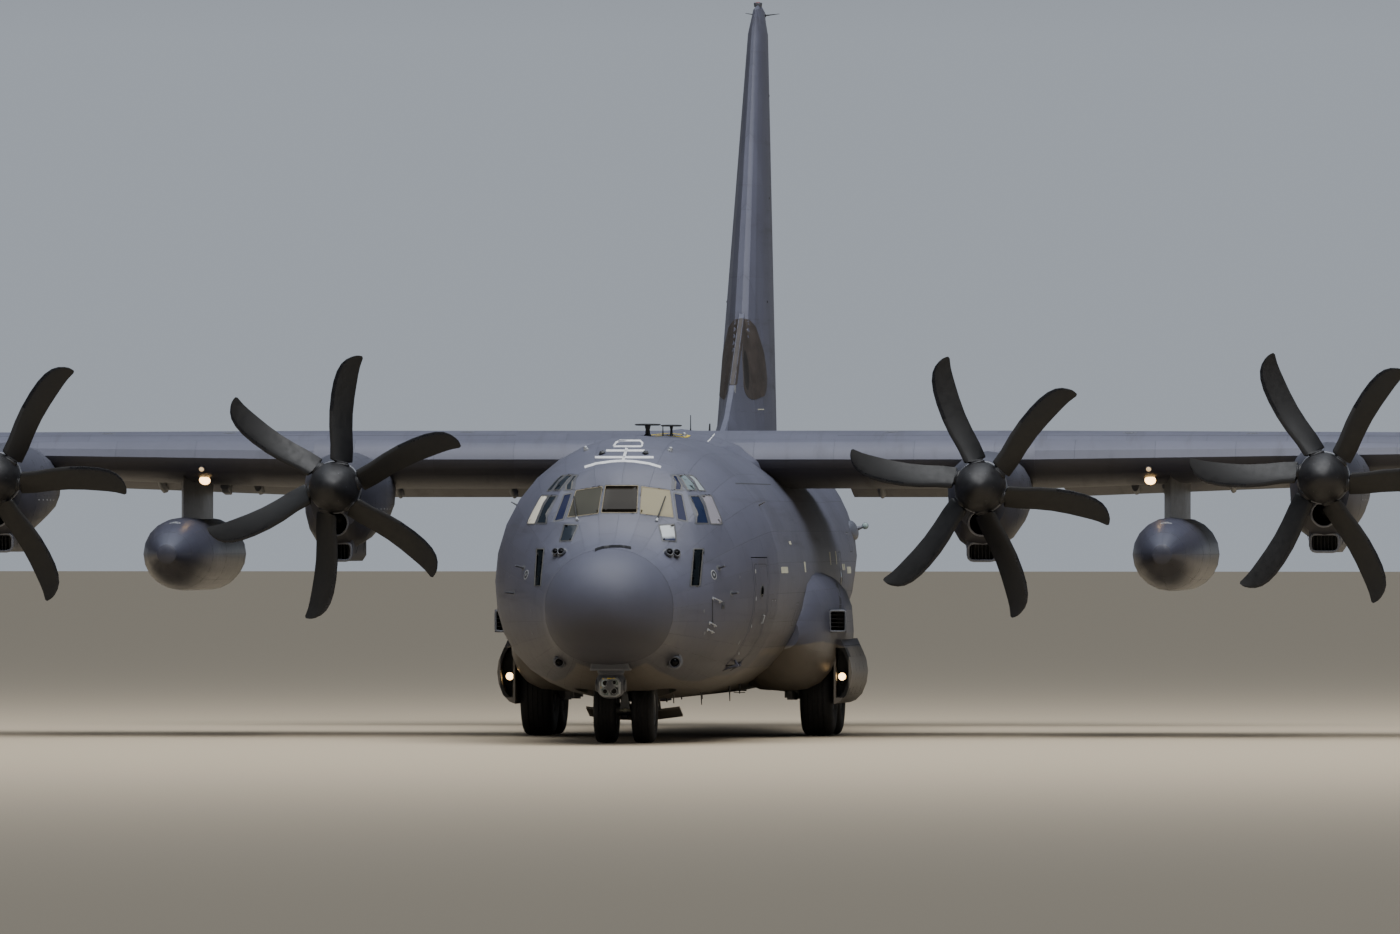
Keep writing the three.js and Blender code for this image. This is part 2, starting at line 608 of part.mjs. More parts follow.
// The ramp's rear face leans forward, so that the cargo door can rise past it.
const rampSide = [[18000, FLOOR_Z - 60], [21200, 1740], [RAMP_END, 1500], [RAMP_END, 300], [18000, 300]];
const wholeRamp = outer
  .intersect(tailOpening(RAMP_HINGE_Y, RAMP_END, CLEARANCE))
  .intersect(sidePrism(rampSide, [-3000, 3000]));
const wholeCargoDoor = outer
  .subtract(hull(130))
  .intersect(tailOpening(RAMP_END, CARGO_DOOR_END, CLEARANCE))
  .intersect(belowLine(18000, 2200, 26000, 3650));
// The ramp hinges on knuckles under the belly, the cargo door on knuckles inside its rear edge.
const RAMP_AXIS = { y: RAMP_HINGE_Y + 7, z: 668 };
const CARGO_DOOR_AXIS = { y: CARGO_DOOR_END - 7, z: 3270 };
const KNUCKLE = { radius: 26, x: 420, length: 160 };
function hingeAcross(pair, { y, z }, x, fixedRoot, movingRoot) {
  return withKnuckles(pair, [x, y, z], [x + KNUCKLE.length, y, z], KNUCKLE.radius, fixedRoot, movingRoot);
}
let belly = { fixed: centreWithDoors, moving: wholeRamp };
for (const x of [-KNUCKLE.x - KNUCKLE.length, KNUCKLE.x]) {
  belly = hingeAcross(belly, RAMP_AXIS, x, [0, -60, 75], [0, 60, 85]);
}
let tail = { fixed: openTail, moving: wholeCargoDoor };
for (const x of [-KNUCKLE.x - KNUCKLE.length, KNUCKLE.x]) {
  tail = hingeAcross(tail, CARGO_DOOR_AXIS, x, [0, 130, -165], [0, -90, -180]);
}
const [centreShell, ramp, aftShell, cargoDoor] = [belly.fixed, belly.moving, tail.fixed, tail.moving];
const cargoFloor = box(
  [-1520, 1520],
  [BULKHEAD_Y[1] + SEAM, RAMP_HINGE_Y - CLEARANCE],
  [FLOOR_Z - 60, FLOOR_Z],
).intersect(linedIn);

// Flight deck: its floor, the bulkhead behind it with a way through, the instrument panel and a pedestal
const DECK_Z = 2130;
const bulkhead = box([-3000, 3000], BULKHEAD_Y, [0, 8000]).subtract(
  box([-480, 480], [NOSE_END - 200, NOSE_END + 100], [FLOOR_Z, 3950]),
);
const panel = sidePrism([[2620, 2950], [2700, 3300], [2960, 3340], [2860, 2900]], [-1050, 1050]);
const flightDeck = union([
  box([-3000, 3000], [2350, 4050], [DECK_Z - 70, DECK_Z]),
  box([-3000, 0], [4000, NOSE_END - 40], [DECK_Z - 70, DECK_Z]),
  box([-3000, 3000], [4700, NOSE_END - 40], [FLOOR_Z - 60, FLOOR_Z]),
  bulkhead,
  panel.intersect(hull(WALL + 24)),
  box([-230, 230], [2700, 3750], [DECK_Z - 10, 2760]),
  box([-230, 230], [2640, 2880], [DECK_Z - 10, 3100]),
]).intersect(linedIn);
const seat = (x) =>
  union([
    box([x - 240, x + 240], [3420, 3900], [2560, 2680]),
    box([x - 240, x + 240], [3860, 3980], [2560, 3330]),
    box([x - 130, x + 130], [3870, 3970], [3300, 3520]),
    bar([x, 3650, DECK_Z + SEAM], [x, 3650, 2580], 90, 90, 10),
  ]);
// Glass: plugs in the window openings, joined behind the wall by a thin liner
const GLASS_DEPTH = 18;
const linerZone = sidePrism(
  [[2000, 2300], [2960, 2300], [2960, 3200], [3750, 3200], [4078, 3700], [4078, 4100], [2000, 4100]],
  [-3000, 3000],
);
const plugs = union(windowPrisms(4));
const glazing = hull(GLASS_DEPTH)
  .subtract(hull(WALL + 20))
  .intersect(plugs)
  .add(linedIn.subtract(hull(WALL + 22)).intersect(linerZone))
  .subtract(flightDeck);

add("radome", slice(outer.subtract(hull(45)), -100, RADOME_END), "paint");
add("nose_shell", noseShell, "paint");
add("forward_shell", entrance.fixed, "paint");
add("centre_shell", centreShell, "paint");
add("aft_shell", aftShell, "paint");
add("crew_door", crewDoor, "paint");
add("troop_door_left", troopDoor, "paint");
add("troop_door_right", mirrored(troopDoor), "paint");
add("ramp", ramp, "paint");
add("cargo_door", cargoDoor, "paint");
add("cargo_floor", cargoFloor, "interior");
add("flight_deck", flightDeck, "interior");
add("seat_left", seat(540), "seat");
add("seat_right", seat(-540), "seat");
add("cockpit_glazing", glazing, "glass");

// Tail: rows as for the wing; the fin's rows are measured up Z instead of out along X
const TAILPLANE = [
  [0, 24650, 4250, 0.13, 4330, 0],
  [7700, 25830, 1950, 0.1, 4330, 0],
];
const TAIL_TIP = [
  [7960, 26050, 1500, 0.07, 4330, 0],
];
const tailRings = [...TAILPLANE, ...TAIL_TIP].map((row) => wingRing(row, 0));
const tailHalf = loft(tailRings, undefined, [8025, 26700, 4330]);
const ELEVATOR = { from: 900, to: 7600, share: 0.66, cutBack: 90 };
const { surface: elevator, fixed: tailFixed } = splitHinged(tailHalf, TAILPLANE, ELEVATOR, 0);

const FIN = [
  [4450, 23000, 6200, 0.15, 0, 0],
  [11300, 26550, 2250, 0.13, 0, 0],
];
const FIN_TIP = [[11700, 26800, 1800, 0.07, 0, 0]];
const X_AND_Z_SWAPPED = [0, 0, 1, 0, 0, 1, 0, 0, 1, 0, 0, 0, 0, 0, 0, 1];
const upright = (solid) => solid.transform(X_AND_Z_SWAPPED).mirror([1, 0, 0]);
const finLying = loft([...FIN, ...FIN_TIP].map((row) => wingRing(row, 0)), undefined, [HEIGHT, 27600, 0]);
const RUDDER = { from: 5300, to: 11150, share: 0.7, cutBack: 90 };
const { surface: rudderLying, fixed: finFixed } = splitHinged(finLying, FIN, RUDDER, 0);
const DORSAL = [
  [20300, 100, 4700],
  [21300, 180, 4980],
  [22300, 270, 5480],
  [23400, 310, 6200],
  [24500, 260, 6900],
];
const dorsal = loft(
  DORSAL.map(([y, halfWidth, top]) => [
    [-halfWidth * 1.5, y, 4400],
    [halfWidth * 1.5, y, 4400],
    [halfWidth, y, 4750],
    [40, y, top],
    [-40, y, top],
    [-halfWidth, y, 4750],
  ]),
);
add("fin", upright(finFixed).add(dorsal).subtract(around), "paint");
add("rudder", upright(rudderLying).subtract(hull(-CLEARANCE)), "paint");

const tailplaneHalf = tailFixed.subtract(around);
const elevatorOut = elevator.subtract(hull(-CLEARANCE * 2));
add("tailplane_left", tailplaneHalf, "paint");
add("tailplane_right", mirrored(tailplaneHalf), "paint");
add("elevator_left", elevatorOut, "paint");
add("elevator_right", mirrored(elevatorOut), "paint");

// Sponsons: rows of [y, outermost x, top, bottom]; the main wheels stand in a well open below and outside
const SPONSON = [
  [9900, 2100, 1850, 1350],
  [10150, 2260, 2180, 1080],
  [10700, 2400, 2470, 860],
  [11500, 2500, 2580, 720],
  [11900, 2530, 2590, 700],
  [12250, 2640, 2590, 690],
  [13500, 2640, 2590, 680],
  [15300, 2520, 2540, 680],
  [16000, 2440, 2380, 780],
  [16550, 2350, 2150, 980],
  [16850, 2270, 1900, 1200],
];
const SPONSON_CORE_X = 1700;
const sponsonWhole = loft(
  SPONSON.map(([y, outermost, top, bottom]) =>
    Array.from({ length: 20 }, (_, i) => {
      const angle = (i / 20) * 2 * Math.PI;
      const power = (v) => Math.sign(v) * Math.abs(v) ** (2 / 2.7);
      return [
        SPONSON_CORE_X + (outermost - SPONSON_CORE_X) * power(Math.cos(angle)),
        y,
        (top + bottom) / 2 + ((top - bottom) / 2) * power(Math.sin(angle)),
      ];
    }),
  ),
);
const WELL = { x: [1450, 3200], y: [11950, 15250], top: 1500 };
const sponson = sponsonWhole
  .subtract(around)
  .subtract(box(WELL.x, WELL.y, [0, WELL.top]));
// A square scoop stands out of the sponson's shoulder
const scoop = box([2440, 2720], [11300, 12400], [1610, 1960])
  .subtract(box([2480, 2700], [11200, 11900], [1640, 1930]))
  .subtract(around);

// Gear doors: hollow, rounded outside and flat inside, hung open beside the wheels. Rows of [x, z].
const DOOR_SECTION = [
  [2470, 500],
  [2560, 535],
  [2660, 640],
  [2725, 810],
  [2750, 990],
  [2725, 1170],
  [2660, 1330],
  [2580, WELL.top - SEAM],
  [2470, WELL.top - SEAM],
];
const doorSkin = frontPrism(DOOR_SECTION, [WELL.y[0] + 20, WELL.y[1] - 20]);
const doorHollow = frontPrism(
  [
    [2505, 620], [2560, 610], [2630, 700], [2680, 840], [2700, 990], [2680, 1140], [2630, 1280], [2570, 1370],
    [2505, 1360],
  ],
  [WELL.y[0] - 40, WELL.y[0] + 420],
);
const gearDoor = doorSkin.subtract(doorHollow);
add("sponson_left", sponson.add(scoop), "paint");
add("sponson_right", mirrored(sponson.add(scoop)), "paint");
add("gear_door_left", gearDoor, "paint");
add("gear_door_right", mirrored(gearDoor), "paint");

// Wheels: [radius, half width] of the tyres, and where they stand
const MAIN_WHEEL = { radius: 711, halfWidth: 255, rim: 290 };
const NOSE_WHEEL = { radius: 495, halfWidth: 168, rim: 215 };
const MAIN_X = 2170;
const MAIN_Y = [12830, 14350];
const NOSE_X = 285;
const NOSE_Y = 3820;

function wheel({ radius, halfWidth, rim }, centre, axleHalf) {
  const profile = [
    [0, -axleHalf],
    [rim * 0.5, -axleHalf],
    [rim * 0.98, -halfWidth * 0.62],
    [rim * 1.12, -halfWidth * 0.92],
    [radius * 0.72, -halfWidth],
    [radius * 0.88, -halfWidth * 0.93],
    [radius, -halfWidth * 0.68],
  ];
  const other = profile.map(([r, along]) => [r, -along]).reverse();
  return turnedAcross([...profile, ...other], centre, 24);
}

const mainWheels = MAIN_Y.map((y) => wheel(MAIN_WHEEL, [MAIN_X, y, MAIN_WHEEL.radius], 175));
MAIN_Y.forEach((_, i) => {
  const place = i === 0 ? "front" : "rear";
  add(`main_wheel_${place}_left`, mainWheels[i], "tyre");
  add(`main_wheel_${place}_right`, mirrored(mainWheels[i]), "tyre");
});

// Main legs: two upright struts a side beside the wheels, with an axle stub each, tied by a long beam
const STRUT_X = 1760;
const mainLeg = union([
  ...MAIN_Y.flatMap((y) => [
    bar([STRUT_X, y, 560], [STRUT_X, y, 1900], 85, 85, 10),
    bar([STRUT_X, y, MAIN_WHEEL.radius], [MAIN_X - 175 - SEAM, y, MAIN_WHEEL.radius], 75, 75, 10),
    bar([STRUT_X, y, 590], [STRUT_X, y, 830], 125, 125, 10),
  ]),
  box([STRUT_X - 50, STRUT_X + 50], [MAIN_Y[0], MAIN_Y[1]], [840, 960]),
]).subtract(around);
add("main_leg_left", mainLeg, "leg");
add("main_leg_right", mirrored(mainLeg), "leg");

// Nose gear: a fixed upper leg, a steered fork with its axle, and two wheels on one hub
const noseWheels = union([
  wheel(NOSE_WHEEL, [NOSE_X, NOSE_Y, NOSE_WHEEL.radius], 120),
  wheel(NOSE_WHEEL, [-NOSE_X, NOSE_Y, NOSE_WHEEL.radius], 120),
  bar([-NOSE_X, NOSE_Y, NOSE_WHEEL.radius], [NOSE_X, NOSE_Y, NOSE_WHEEL.radius], 42, 42, 14),
]);
const FORK_TOP = 1010;
const AXLE_SLEEVE = NOSE_X - 120 - SEAM; // ends against the wheels' hubs
const AXLE_RADIUS = 42;
const axleBore = AXLE_RADIUS + 3;
const axleLine = [[-400, NOSE_Y, NOSE_WHEEL.radius], [400, NOSE_Y, NOSE_WHEEL.radius]];
const noseFork = union([
  bar([0, NOSE_Y, NOSE_WHEEL.radius], [0, NOSE_Y, FORK_TOP], 62, 62, 14),
  bar([-AXLE_SLEEVE, NOSE_Y, NOSE_WHEEL.radius], [AXLE_SLEEVE, NOSE_Y, NOSE_WHEEL.radius], 92, 92, 14),
  sidePrism([[NOSE_Y + 40, 560], [NOSE_Y + 230, 700], [NOSE_Y + 230, 760], [NOSE_Y + 40, 920]], [-35, 35]),
]).subtract(bar(...axleLine, axleBore, axleBore, 20));
const noseLeg = union([
  bar([0, NOSE_Y, FORK_TOP + SEAM], [0, NOSE_Y, DECK_Z - 70 - SEAM], 95, 95, 14),
  bar([-260, NOSE_Y + 20, 1400], [260, NOSE_Y + 20, 1400], 55, 55, 10),
  bar([0, NOSE_Y, 1420], [0, NOSE_Y + 700, 2040], 45, 45, 10),
]).subtract(flightDeck);
// The door behind the nose wheels, curved like the belly, hangs below it on four rods.
const NOSE_DOOR = { y: [4980, 5560], halfWidth: 705, front: 460, rear: 335, thick: 34, sag: 60 };
const noseDoorSheet = (y, z) =>
  [-1, -0.5, 0, 0.5, 1].map((u) => [u * NOSE_DOOR.halfWidth, y, z + u * u * NOSE_DOOR.sag]);
const noseDoorRing = (y, z) => [
  ...noseDoorSheet(y, z - NOSE_DOOR.thick / 2),
  ...noseDoorSheet(y, z + NOSE_DOOR.thick / 2).reverse(),
];
const noseDoor = union([
  loft([noseDoorRing(NOSE_DOOR.y[0], NOSE_DOOR.front), noseDoorRing(NOSE_DOOR.y[1], NOSE_DOOR.rear)]),
  ...[-380, 380].flatMap((x) => [
    bar([x, 5080, 455], [x * 0.8, 4900, 760], 20, 20, 6),
    bar([x, 5420, 385], [x * 0.9, 5420, 760], 20, 20, 6),
  ]),
]).subtract(around);
add("nose_leg", noseLeg, "leg");
add("nose_fork", noseFork, "leg");
add("nose_wheels", noseWheels, "tyre");
add("nose_door", noseDoor, "paint");

// Engines: nacelle rows are [y from the propeller, half width, above the axis, below the axis]
const NACELLE = [
  [210, 400, 400, 640],
  [420, 480, 470, 860],
  [900, 560, 530, 960],
  [1700, 600, 560, 900],
  [2700, 600, 520, 760],
  [3700, 560, 400, 640],
  [4400, 460, 250, 520],
  [5050, 300, 60, 360],
];
const PROPELLER_Y = 8900;
const ENGINES = { inner: { x: 4950, z: 3840 }, outer: { x: 10180, z: 3980 } };
const PROPELLER_RADIUS = 2057;

function nacelle({ x, z }) {
  const whole = loft(
    NACELLE.map(([y, halfWidth, above, below]) =>
      Array.from({ length: 20 }, (_, i) => {
        const [px, pz] = roundedPoint((i / 20) * 2 * Math.PI, halfWidth, above, below, 2.6);
        return [x + px, PROPELLER_Y + y, z + pz];
      }),
    ),
  );
  // The chin holds the engine's intake, and the oil cooler's scoop below it.
  const intake = bar([x, PROPELLER_Y + 100, z - 560], [x, PROPELLER_Y + 1300, z - 420], 190, 150, 14);
  const cooler = box([x - 190, x + 190], [PROPELLER_Y + 100, PROPELLER_Y + 800], [z - 1110, z - 880]);
  const coolerLip = frontPrism(
    [
      [x - 240, z - 1040], [x - 180, z - 1130], [x + 180, z - 1130], [x + 240, z - 1040], [x + 240, z - 800],
      [x - 240, z - 800],
    ],
    [PROPELLER_Y + 460, PROPELLER_Y + 2400],
  );
  const cavity = box([x - 330, x + 330], [PROPELLER_Y + 1000, PROPELLER_Y + 3000], [z - 450, z + 300]);
  return whole.add(coolerLip).subtract(intake).subtract(cooler).subtract(cavity);
}

const engineBlock = ({ x, z }) =>
  box(
    [x - 330 + SEAM, x + 330 - SEAM],
    [PROPELLER_Y + 1000 + SEAM, PROPELLER_Y + 3000 - SEAM],
    [z - 450 + SEAM, z + 300 - SEAM],
  );

// A blade's sections: [radius, chord, sweep of its middle behind the radius, thickness, degrees of pitch]. The
// pitch is the fine one that turning engines have on the ground.
const BLADE = [
  [300, 200, 55, 150, 45],
  [440, 400, 45, 100, 35],
  [640, 385, 15, 78, 30],
  [1150, 370, -80, 44, 18],
  [1600, 362, -95, 28, 12],
  [1880, 290, -55, 18, 9],
  [PROPELLER_RADIUS - 6, 100, 60, 10, 8],
];
const BLADE_SECTION = [[-0.5, 0], [-0.28, 0.5], [0.15, 0.42], [0.5, 0], [0.15, -0.42], [-0.28, -0.5]];
const BLADES = 6;

function propeller({ x, z }, firstAngle) {
  const blade = loft(
    BLADE.map(([radius, chord, sweep, thickness, pitch]) => {
      const turn = THREE.MathUtils.degToRad(pitch);
      return BLADE_SECTION.map(([u, v]) => {
        const [across, deep] = [u * chord, v * thickness];
        return [
          sweep + across * Math.cos(turn) - deep * Math.sin(turn),
          across * Math.sin(turn) + deep * Math.cos(turn),
          Math.sqrt(Math.max(radius ** 2 - sweep ** 2, 0)),
        ];
      });
    }),
  );
  const spinner = turnedAlong(
    [
      [0, -640], [130, -600], [260, -470], [350, -270], [385, -30], [385, 170], [150, 170], [150, 210 - SEAM],
      [0, 210 - SEAM],
    ],
    [0, 0, 0],
    20,
  );
  const blades = Array.from({ length: BLADES }, (_, i) => {
    const m = new THREE.Matrix4().makeRotationY(firstAngle + (i / BLADES) * 2 * Math.PI);
    return blade.transform(m.elements);
  });
  return union([spinner, ...blades]).translate([x, PROPELLER_Y, z]);
}

// The blades' angles in the photograph, in degrees, engine by engine
const PLACES = [
  ["inner_left", ENGINES.inner, 1, -16.5],
  ["inner_right", ENGINES.inner, -1, 9.5],
  ["outer_left", ENGINES.outer, 1, -24.5],
  ["outer_right", ENGINES.outer, -1, 34],
];
const flapRoom = [FLAPS.inner, FLAPS.outer].map((span) => flapSpace(span, 60));
const nacelleTrim = union([wingRoom, ...flapRoom]);
for (const [place, engine, side, degrees] of PLACES) {
  const own = { x: engine.x * side, z: engine.z };
  const cut = side > 0 ? nacelleTrim : mirrored(nacelleTrim);
  add(`nacelle_${place}`, nacelle(own).subtract(cut), "paint");
  add(`engine_${place}`, engineBlock(own).subtract(cut), "engine");
  add(`propeller_${place}`, propeller(own, THREE.MathUtils.degToRad(degrees)), "propeller");
}

// Fuel tanks hang under the wing on pylons, between the engines. The profile is [radius, y].
const TANK = { x: 7660, z: 2815, y: 9950 };
const TANK_PROFILE = [
  [0, 0], [150, 70], [320, 380], [460, 950], [545, 1600], [567, 2150], [567, 5650], [490, 6500], [320, 7250],
  [0, 7850],
];

const PYLON_TAPER = 1100;
const PYLON_TOP = 4700;

function hung({ x, z, y }, profile, [py0, py1], halfWidth, sides) {
  const body = turnedAlong(profile, [x, y, z], sides);
  const [full, fades] = [py0 + PYLON_TAPER, py1 - PYLON_TAPER];
  const plan = [
    [0, py0], [halfWidth, full], [halfWidth, fades], [0, py1], [-halfWidth, fades], [-halfWidth, full],
  ];
  const shape = new THREE.Shape(plan.map(([u, v]) => new THREE.Vector2(x + u, v)));
  const geometry = new THREE.ExtrudeGeometry(shape, { depth: PYLON_TOP - z, bevelEnabled: false });
  const pylon = toSolid(geometry.translate(0, 0, z));
  return body.add(pylon.subtract(nacelleTrim)).decompose().sort((a, b) => b.volume() - a.volume())[0];
}

const tank = hung(TANK, TANK_PROFILE, [12200, 15900], 160, 20);
add("fuel_tank_left", tank, "paint");
add("fuel_tank_right", mirrored(tank), "paint");

// The sensor turret under the nose: a ball below a carrier plate, whose keel reaches back to the nose shell
const TURRET = { y: 1450, z: 885, radius: 215, halfHeight: 195, plateZ: 1115 };
const turretProfile = [
  [0, -1], [0.5, -0.98], [0.86, -0.6], [1, 0], [1, 0.45], [0.72, 0.95], [0.72, 1.25], [0, 1.25],
];
const turretBall = toSolid(
  new THREE.LatheGeometry(
    turretProfile.map(([r, up]) => new THREE.Vector2(r * TURRET.radius, up * TURRET.halfHeight)),
    16,
  )
    .rotateX(Math.PI / 2)
    .translate(0, TURRET.y, TURRET.z),
);
const turret = union([
  turretBall,
  box([-282, 282], [1150, 1640], [TURRET.plateZ, 1300]),
  sidePrism([[1300, 1250], [1300, TURRET.plateZ], [1900, 960], [2200, 890], [2200, 1100]], [-140, 140]),
]).subtract(around);
add("sensor_turret", turret, "sensor");

const group = new THREE.Group();
for (const { name, solid, material } of parts) {
  const [color, roughness, metalness] = MATERIALS[material];
  const paint = new THREE.MeshStandardMaterial({ color, roughness, metalness });
  const mesh = new THREE.Mesh(toGeometry(solid), paint);
  mesh.name = name;
  group.add(mesh);
}
group.scale.setScalar(SCALE);
group.position.set(0, (-LENGTH / 2) * SCALE, 0);

export default group;
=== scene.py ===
"""Looks of the military transport plane: materials, small fittings, markings, light and camera.

Places are written in the real aircraft's millimetres, as (out to the left, back from the nose tip, up from
the ground). at() turns them into metres of the 1:2 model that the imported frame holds.
"""

import math

import bmesh
import bpy
from mathutils import Matrix, Vector
from mathutils.bvhtree import BVHTree


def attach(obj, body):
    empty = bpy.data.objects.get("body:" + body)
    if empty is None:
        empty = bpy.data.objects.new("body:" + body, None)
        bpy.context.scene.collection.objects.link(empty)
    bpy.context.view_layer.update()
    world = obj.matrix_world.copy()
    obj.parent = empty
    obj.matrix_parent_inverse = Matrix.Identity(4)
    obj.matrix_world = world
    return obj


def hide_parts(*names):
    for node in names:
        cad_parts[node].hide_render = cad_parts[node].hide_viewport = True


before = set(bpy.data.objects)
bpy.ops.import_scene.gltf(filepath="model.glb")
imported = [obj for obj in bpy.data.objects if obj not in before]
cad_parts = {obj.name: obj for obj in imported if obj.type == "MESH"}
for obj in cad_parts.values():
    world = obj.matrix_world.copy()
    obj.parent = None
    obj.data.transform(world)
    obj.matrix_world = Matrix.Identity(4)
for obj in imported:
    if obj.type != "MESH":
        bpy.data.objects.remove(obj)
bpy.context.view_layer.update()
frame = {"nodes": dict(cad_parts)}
NODES = frame["nodes"]

REAL_LENGTH = 29790
MM = 0.5 / 1000  # A millimetre of the real aircraft, in metres of the model
AHEAD, BACK = Vector((0, -1, 0)), Vector((0, 1, 0))
ABOVE, BELOW = Vector((0, 0, 1)), Vector((0, 0, -1))
ASIDE = Vector((1, 0, 0))
SIDES = ((1, "left"), (-1, "right"))
# The nacelles' names and the places of their axes aside and up, then the tanks'
NACELLES = (("inner", 4950, 3840), ("outer", 10180, 3980))
TANK_X, TANK_Z = 7660, 2815


def at(x, y, z):
    """A place on the real aircraft, in millimetres, as metres of the model"""
    return Vector((x * MM, (y - REAL_LENGTH / 2) * MM, z * MM))


# Camera, matched to the photograph
IMAGE = (1400, 934)
EYE = Vector((11.44, -129.2825, 1.545))
YAW, PITCH, ROLL = (math.radians(a) for a in (5.026, 0.239, 0.014))
FOCAL_PIXELS = 16617.5
FORWARD = Vector((-math.sin(YAW) * math.cos(PITCH), math.cos(YAW) * math.cos(PITCH), math.sin(PITCH)))
RIGHT = Vector((math.cos(YAW), math.sin(YAW), 0))
UP = RIGHT.cross(FORWARD)


def make_camera():
    """The camera that took the photograph, about 130 m ahead with a long lens"""
    data = bpy.data.cameras.new("camera")
    data.sensor_width = 36
    data.lens = FOCAL_PIXELS / IMAGE[0] * data.sensor_width
    data.clip_start = 1
    data.clip_end = 1000
    camera = bpy.data.objects.new("camera", data)
    bpy.context.scene.collection.objects.link(camera)
    turn = Matrix((RIGHT, UP, -FORWARD)).transposed() @ Matrix.Rotation(ROLL, 3, "Z")
    camera.matrix_world = Matrix.Translation(EYE) @ turn.to_4x4()
    bpy.context.scene.camera = camera


def towards(px, py):
    """The direction from the camera through a pixel of the photograph"""
    across, above = px - IMAGE[0] / 2, IMAGE[1] / 2 - py
    return (FORWARD * FOCAL_PIXELS + RIGHT * across + UP * above).normalized()


make_camera()


# Shaders
def linear(hex_colour):
    """A colour written as an sRGB hex number, as the linear RGBA that Blender's sockets take"""
    channels = [((hex_colour >> shift) & 255) / 255 for shift in (16, 8, 0)]
    return (*[c / 12.92 if c <= 0.04045 else ((c + 0.055) / 1.055) ** 2.4 for c in channels], 1)


def toned(colour, *factors):
    """A linear colour made lighter or darker, by one factor or by one for each channel"""
    return (*(min(1.0, c * f) for c, f in zip(colour, factors * (3 // len(factors)))), 1)


class Shader:
    """A material's node tree, with short calls for the nodes that the finishes are made of"""

    def __init__(self, name, **constants):
        self.material = bpy.data.materials.new(name)
        self.material.use_nodes = True
        self.tree = self.material.node_tree
        self.surface = self.tree.nodes["Principled BSDF"]
        self.place = self.node("ShaderNodeTexCoord").outputs["Object"]
        for socket, value in constants.items():
            self.surface.inputs[socket.replace("_", " ")].default_value = value

    def node(self, kind, inputs=(), **settings):
        made = self.tree.nodes.new(kind)
        for setting, value in settings.items():
            setattr(made, setting, value)
        for socket, value in dict(inputs).items():
            self.feed(made.inputs[socket], value)
        return made

    def feed(self, socket, value):
        if isinstance(value, bpy.types.NodeSocket):
            self.tree.links.new(value, socket)
        else:
            socket.default_value = value

    def out(self, socket, value):
        self.feed(self.surface.inputs[socket], value)

    def math(self, operation, a, b=0.0):
        made = self.node("ShaderNodeMath", operation=operation)
        self.feed(made.inputs[0], a)
        self.feed(made.inputs[1], b)
        return made.outputs[0]

    def add(self, a, b):
        return self.math("ADD", a, b)

    def sub(self, a, b):
        return self.math("SUBTRACT", a, b)

    def mul(self, a, b):
        return self.math("MULTIPLY", a, b)

    def split(self, vector=None):
        return self.node("ShaderNodeSeparateXYZ", {"Vector": vector or self.place}).outputs

    def vector(self, x=0.0, y=0.0, z=0.0):
        return self.node("ShaderNodeCombineXYZ", {"X": x, "Y": y, "Z": z}).outputs[0]

    def scaled(self, *sizes, vector=None):
        made = self.node("ShaderNodeMapping", {"Vector": vector or self.place, "Scale": sizes})
        return made.outputs[0]

    def noise(self, scale, detail=3.0, roughness=0.55, vector=None, distortion=0.0):
        inputs = {
            "Vector": vector or self.place,
            "Scale": scale,
            "Detail": detail,
            "Roughness": roughness,
            "Distortion": distortion,
        }
        return self.node("ShaderNodeTexNoise", inputs).outputs["Fac"]

    def span(self, value, low, high, to_low=0.0, to_high=1.0, smooth=False):
        inputs = {"Value": value, "From Min": low, "From Max": high, "To Min": to_low, "To Max": to_high}
        kind = "SMOOTHSTEP" if smooth else "LINEAR"
        return self.node("ShaderNodeMapRange", inputs, interpolation_type=kind).outputs["Result"]

    def blend(self, share, a, b, kind="MIX"):
        inputs = {"Fac": share, "Color1": a, "Color2": b}
        return self.node("ShaderNodeMixRGB", inputs, blend_type=kind).outputs["Color"]

    def course(self, value, points):
        """A curve through points, each from a value to its result"""
        made = self.node("ShaderNodeFloatCurve", {"Value": value})
        made.mapping.use_clip = False
        made.mapping.extend = "HORIZONTAL"
        curve = made.mapping.curves[0]
        for i, (at_value, result) in enumerate(points):
            point = curve.points[i] if i < 2 else curve.points.new(at_value, result)
            point.location = (at_value, result)
        for point in curve.points:
            point.handle_type = "VECTOR"
        made.mapping.update()
        return made.outputs["Value"]

    def underside(self):
        """How far a surface faces down, from 0 on upright and upper ones to 1 on level undersides"""
        facing = self.node("ShaderNodeTexCoord").outputs["Normal"]
        return self.span(self.split(facing)[2], 0.35, -0.65, smooth=True)

    def bump(self, height, distance, strength=1.0):
        inputs = {"Height": height, "Distance": distance, "Strength": strength}
        self.out("Normal", self.node("ShaderNodeBump", inputs).outputs["Normal"])


LOWER_PAINT = 0x827C74
# Painted shade, multiplied into the paint where a face looks down
UNDERSIDE_SHADE = (0.42, 0.4, 0.38, 1)
# Where the belly's lighter paint begins: its height at each distance from the middle, in metres
LOWER_EDGE = [
    (0.0, 0.56), (0.13, 0.556), (0.26, 0.607), (0.33, 0.537), (0.44, 0.474), (0.54, 0.464), (0.63, 0.491),
    (0.72, 0.503), (0.82, 0.558), (0.89, 0.63), (0.94, 0.7), (1.06, 0.713), (1.2, 0.74), (1.3, 0.69), (1.5, 0.68),
]


def belly_share(s):
    """1 on the belly's lighter paint, 0 above its soft wavy edge"""
    x, _, z = s.split()
    edge = s.course(s.math("ABSOLUTE", x), LOWER_EDGE)
    waved = s.add(z, s.mul(s.sub(s.noise(2.4, detail=2), 0.5), 0.03))
    return s.span(s.sub(waved, edge), 0.008, -0.008)


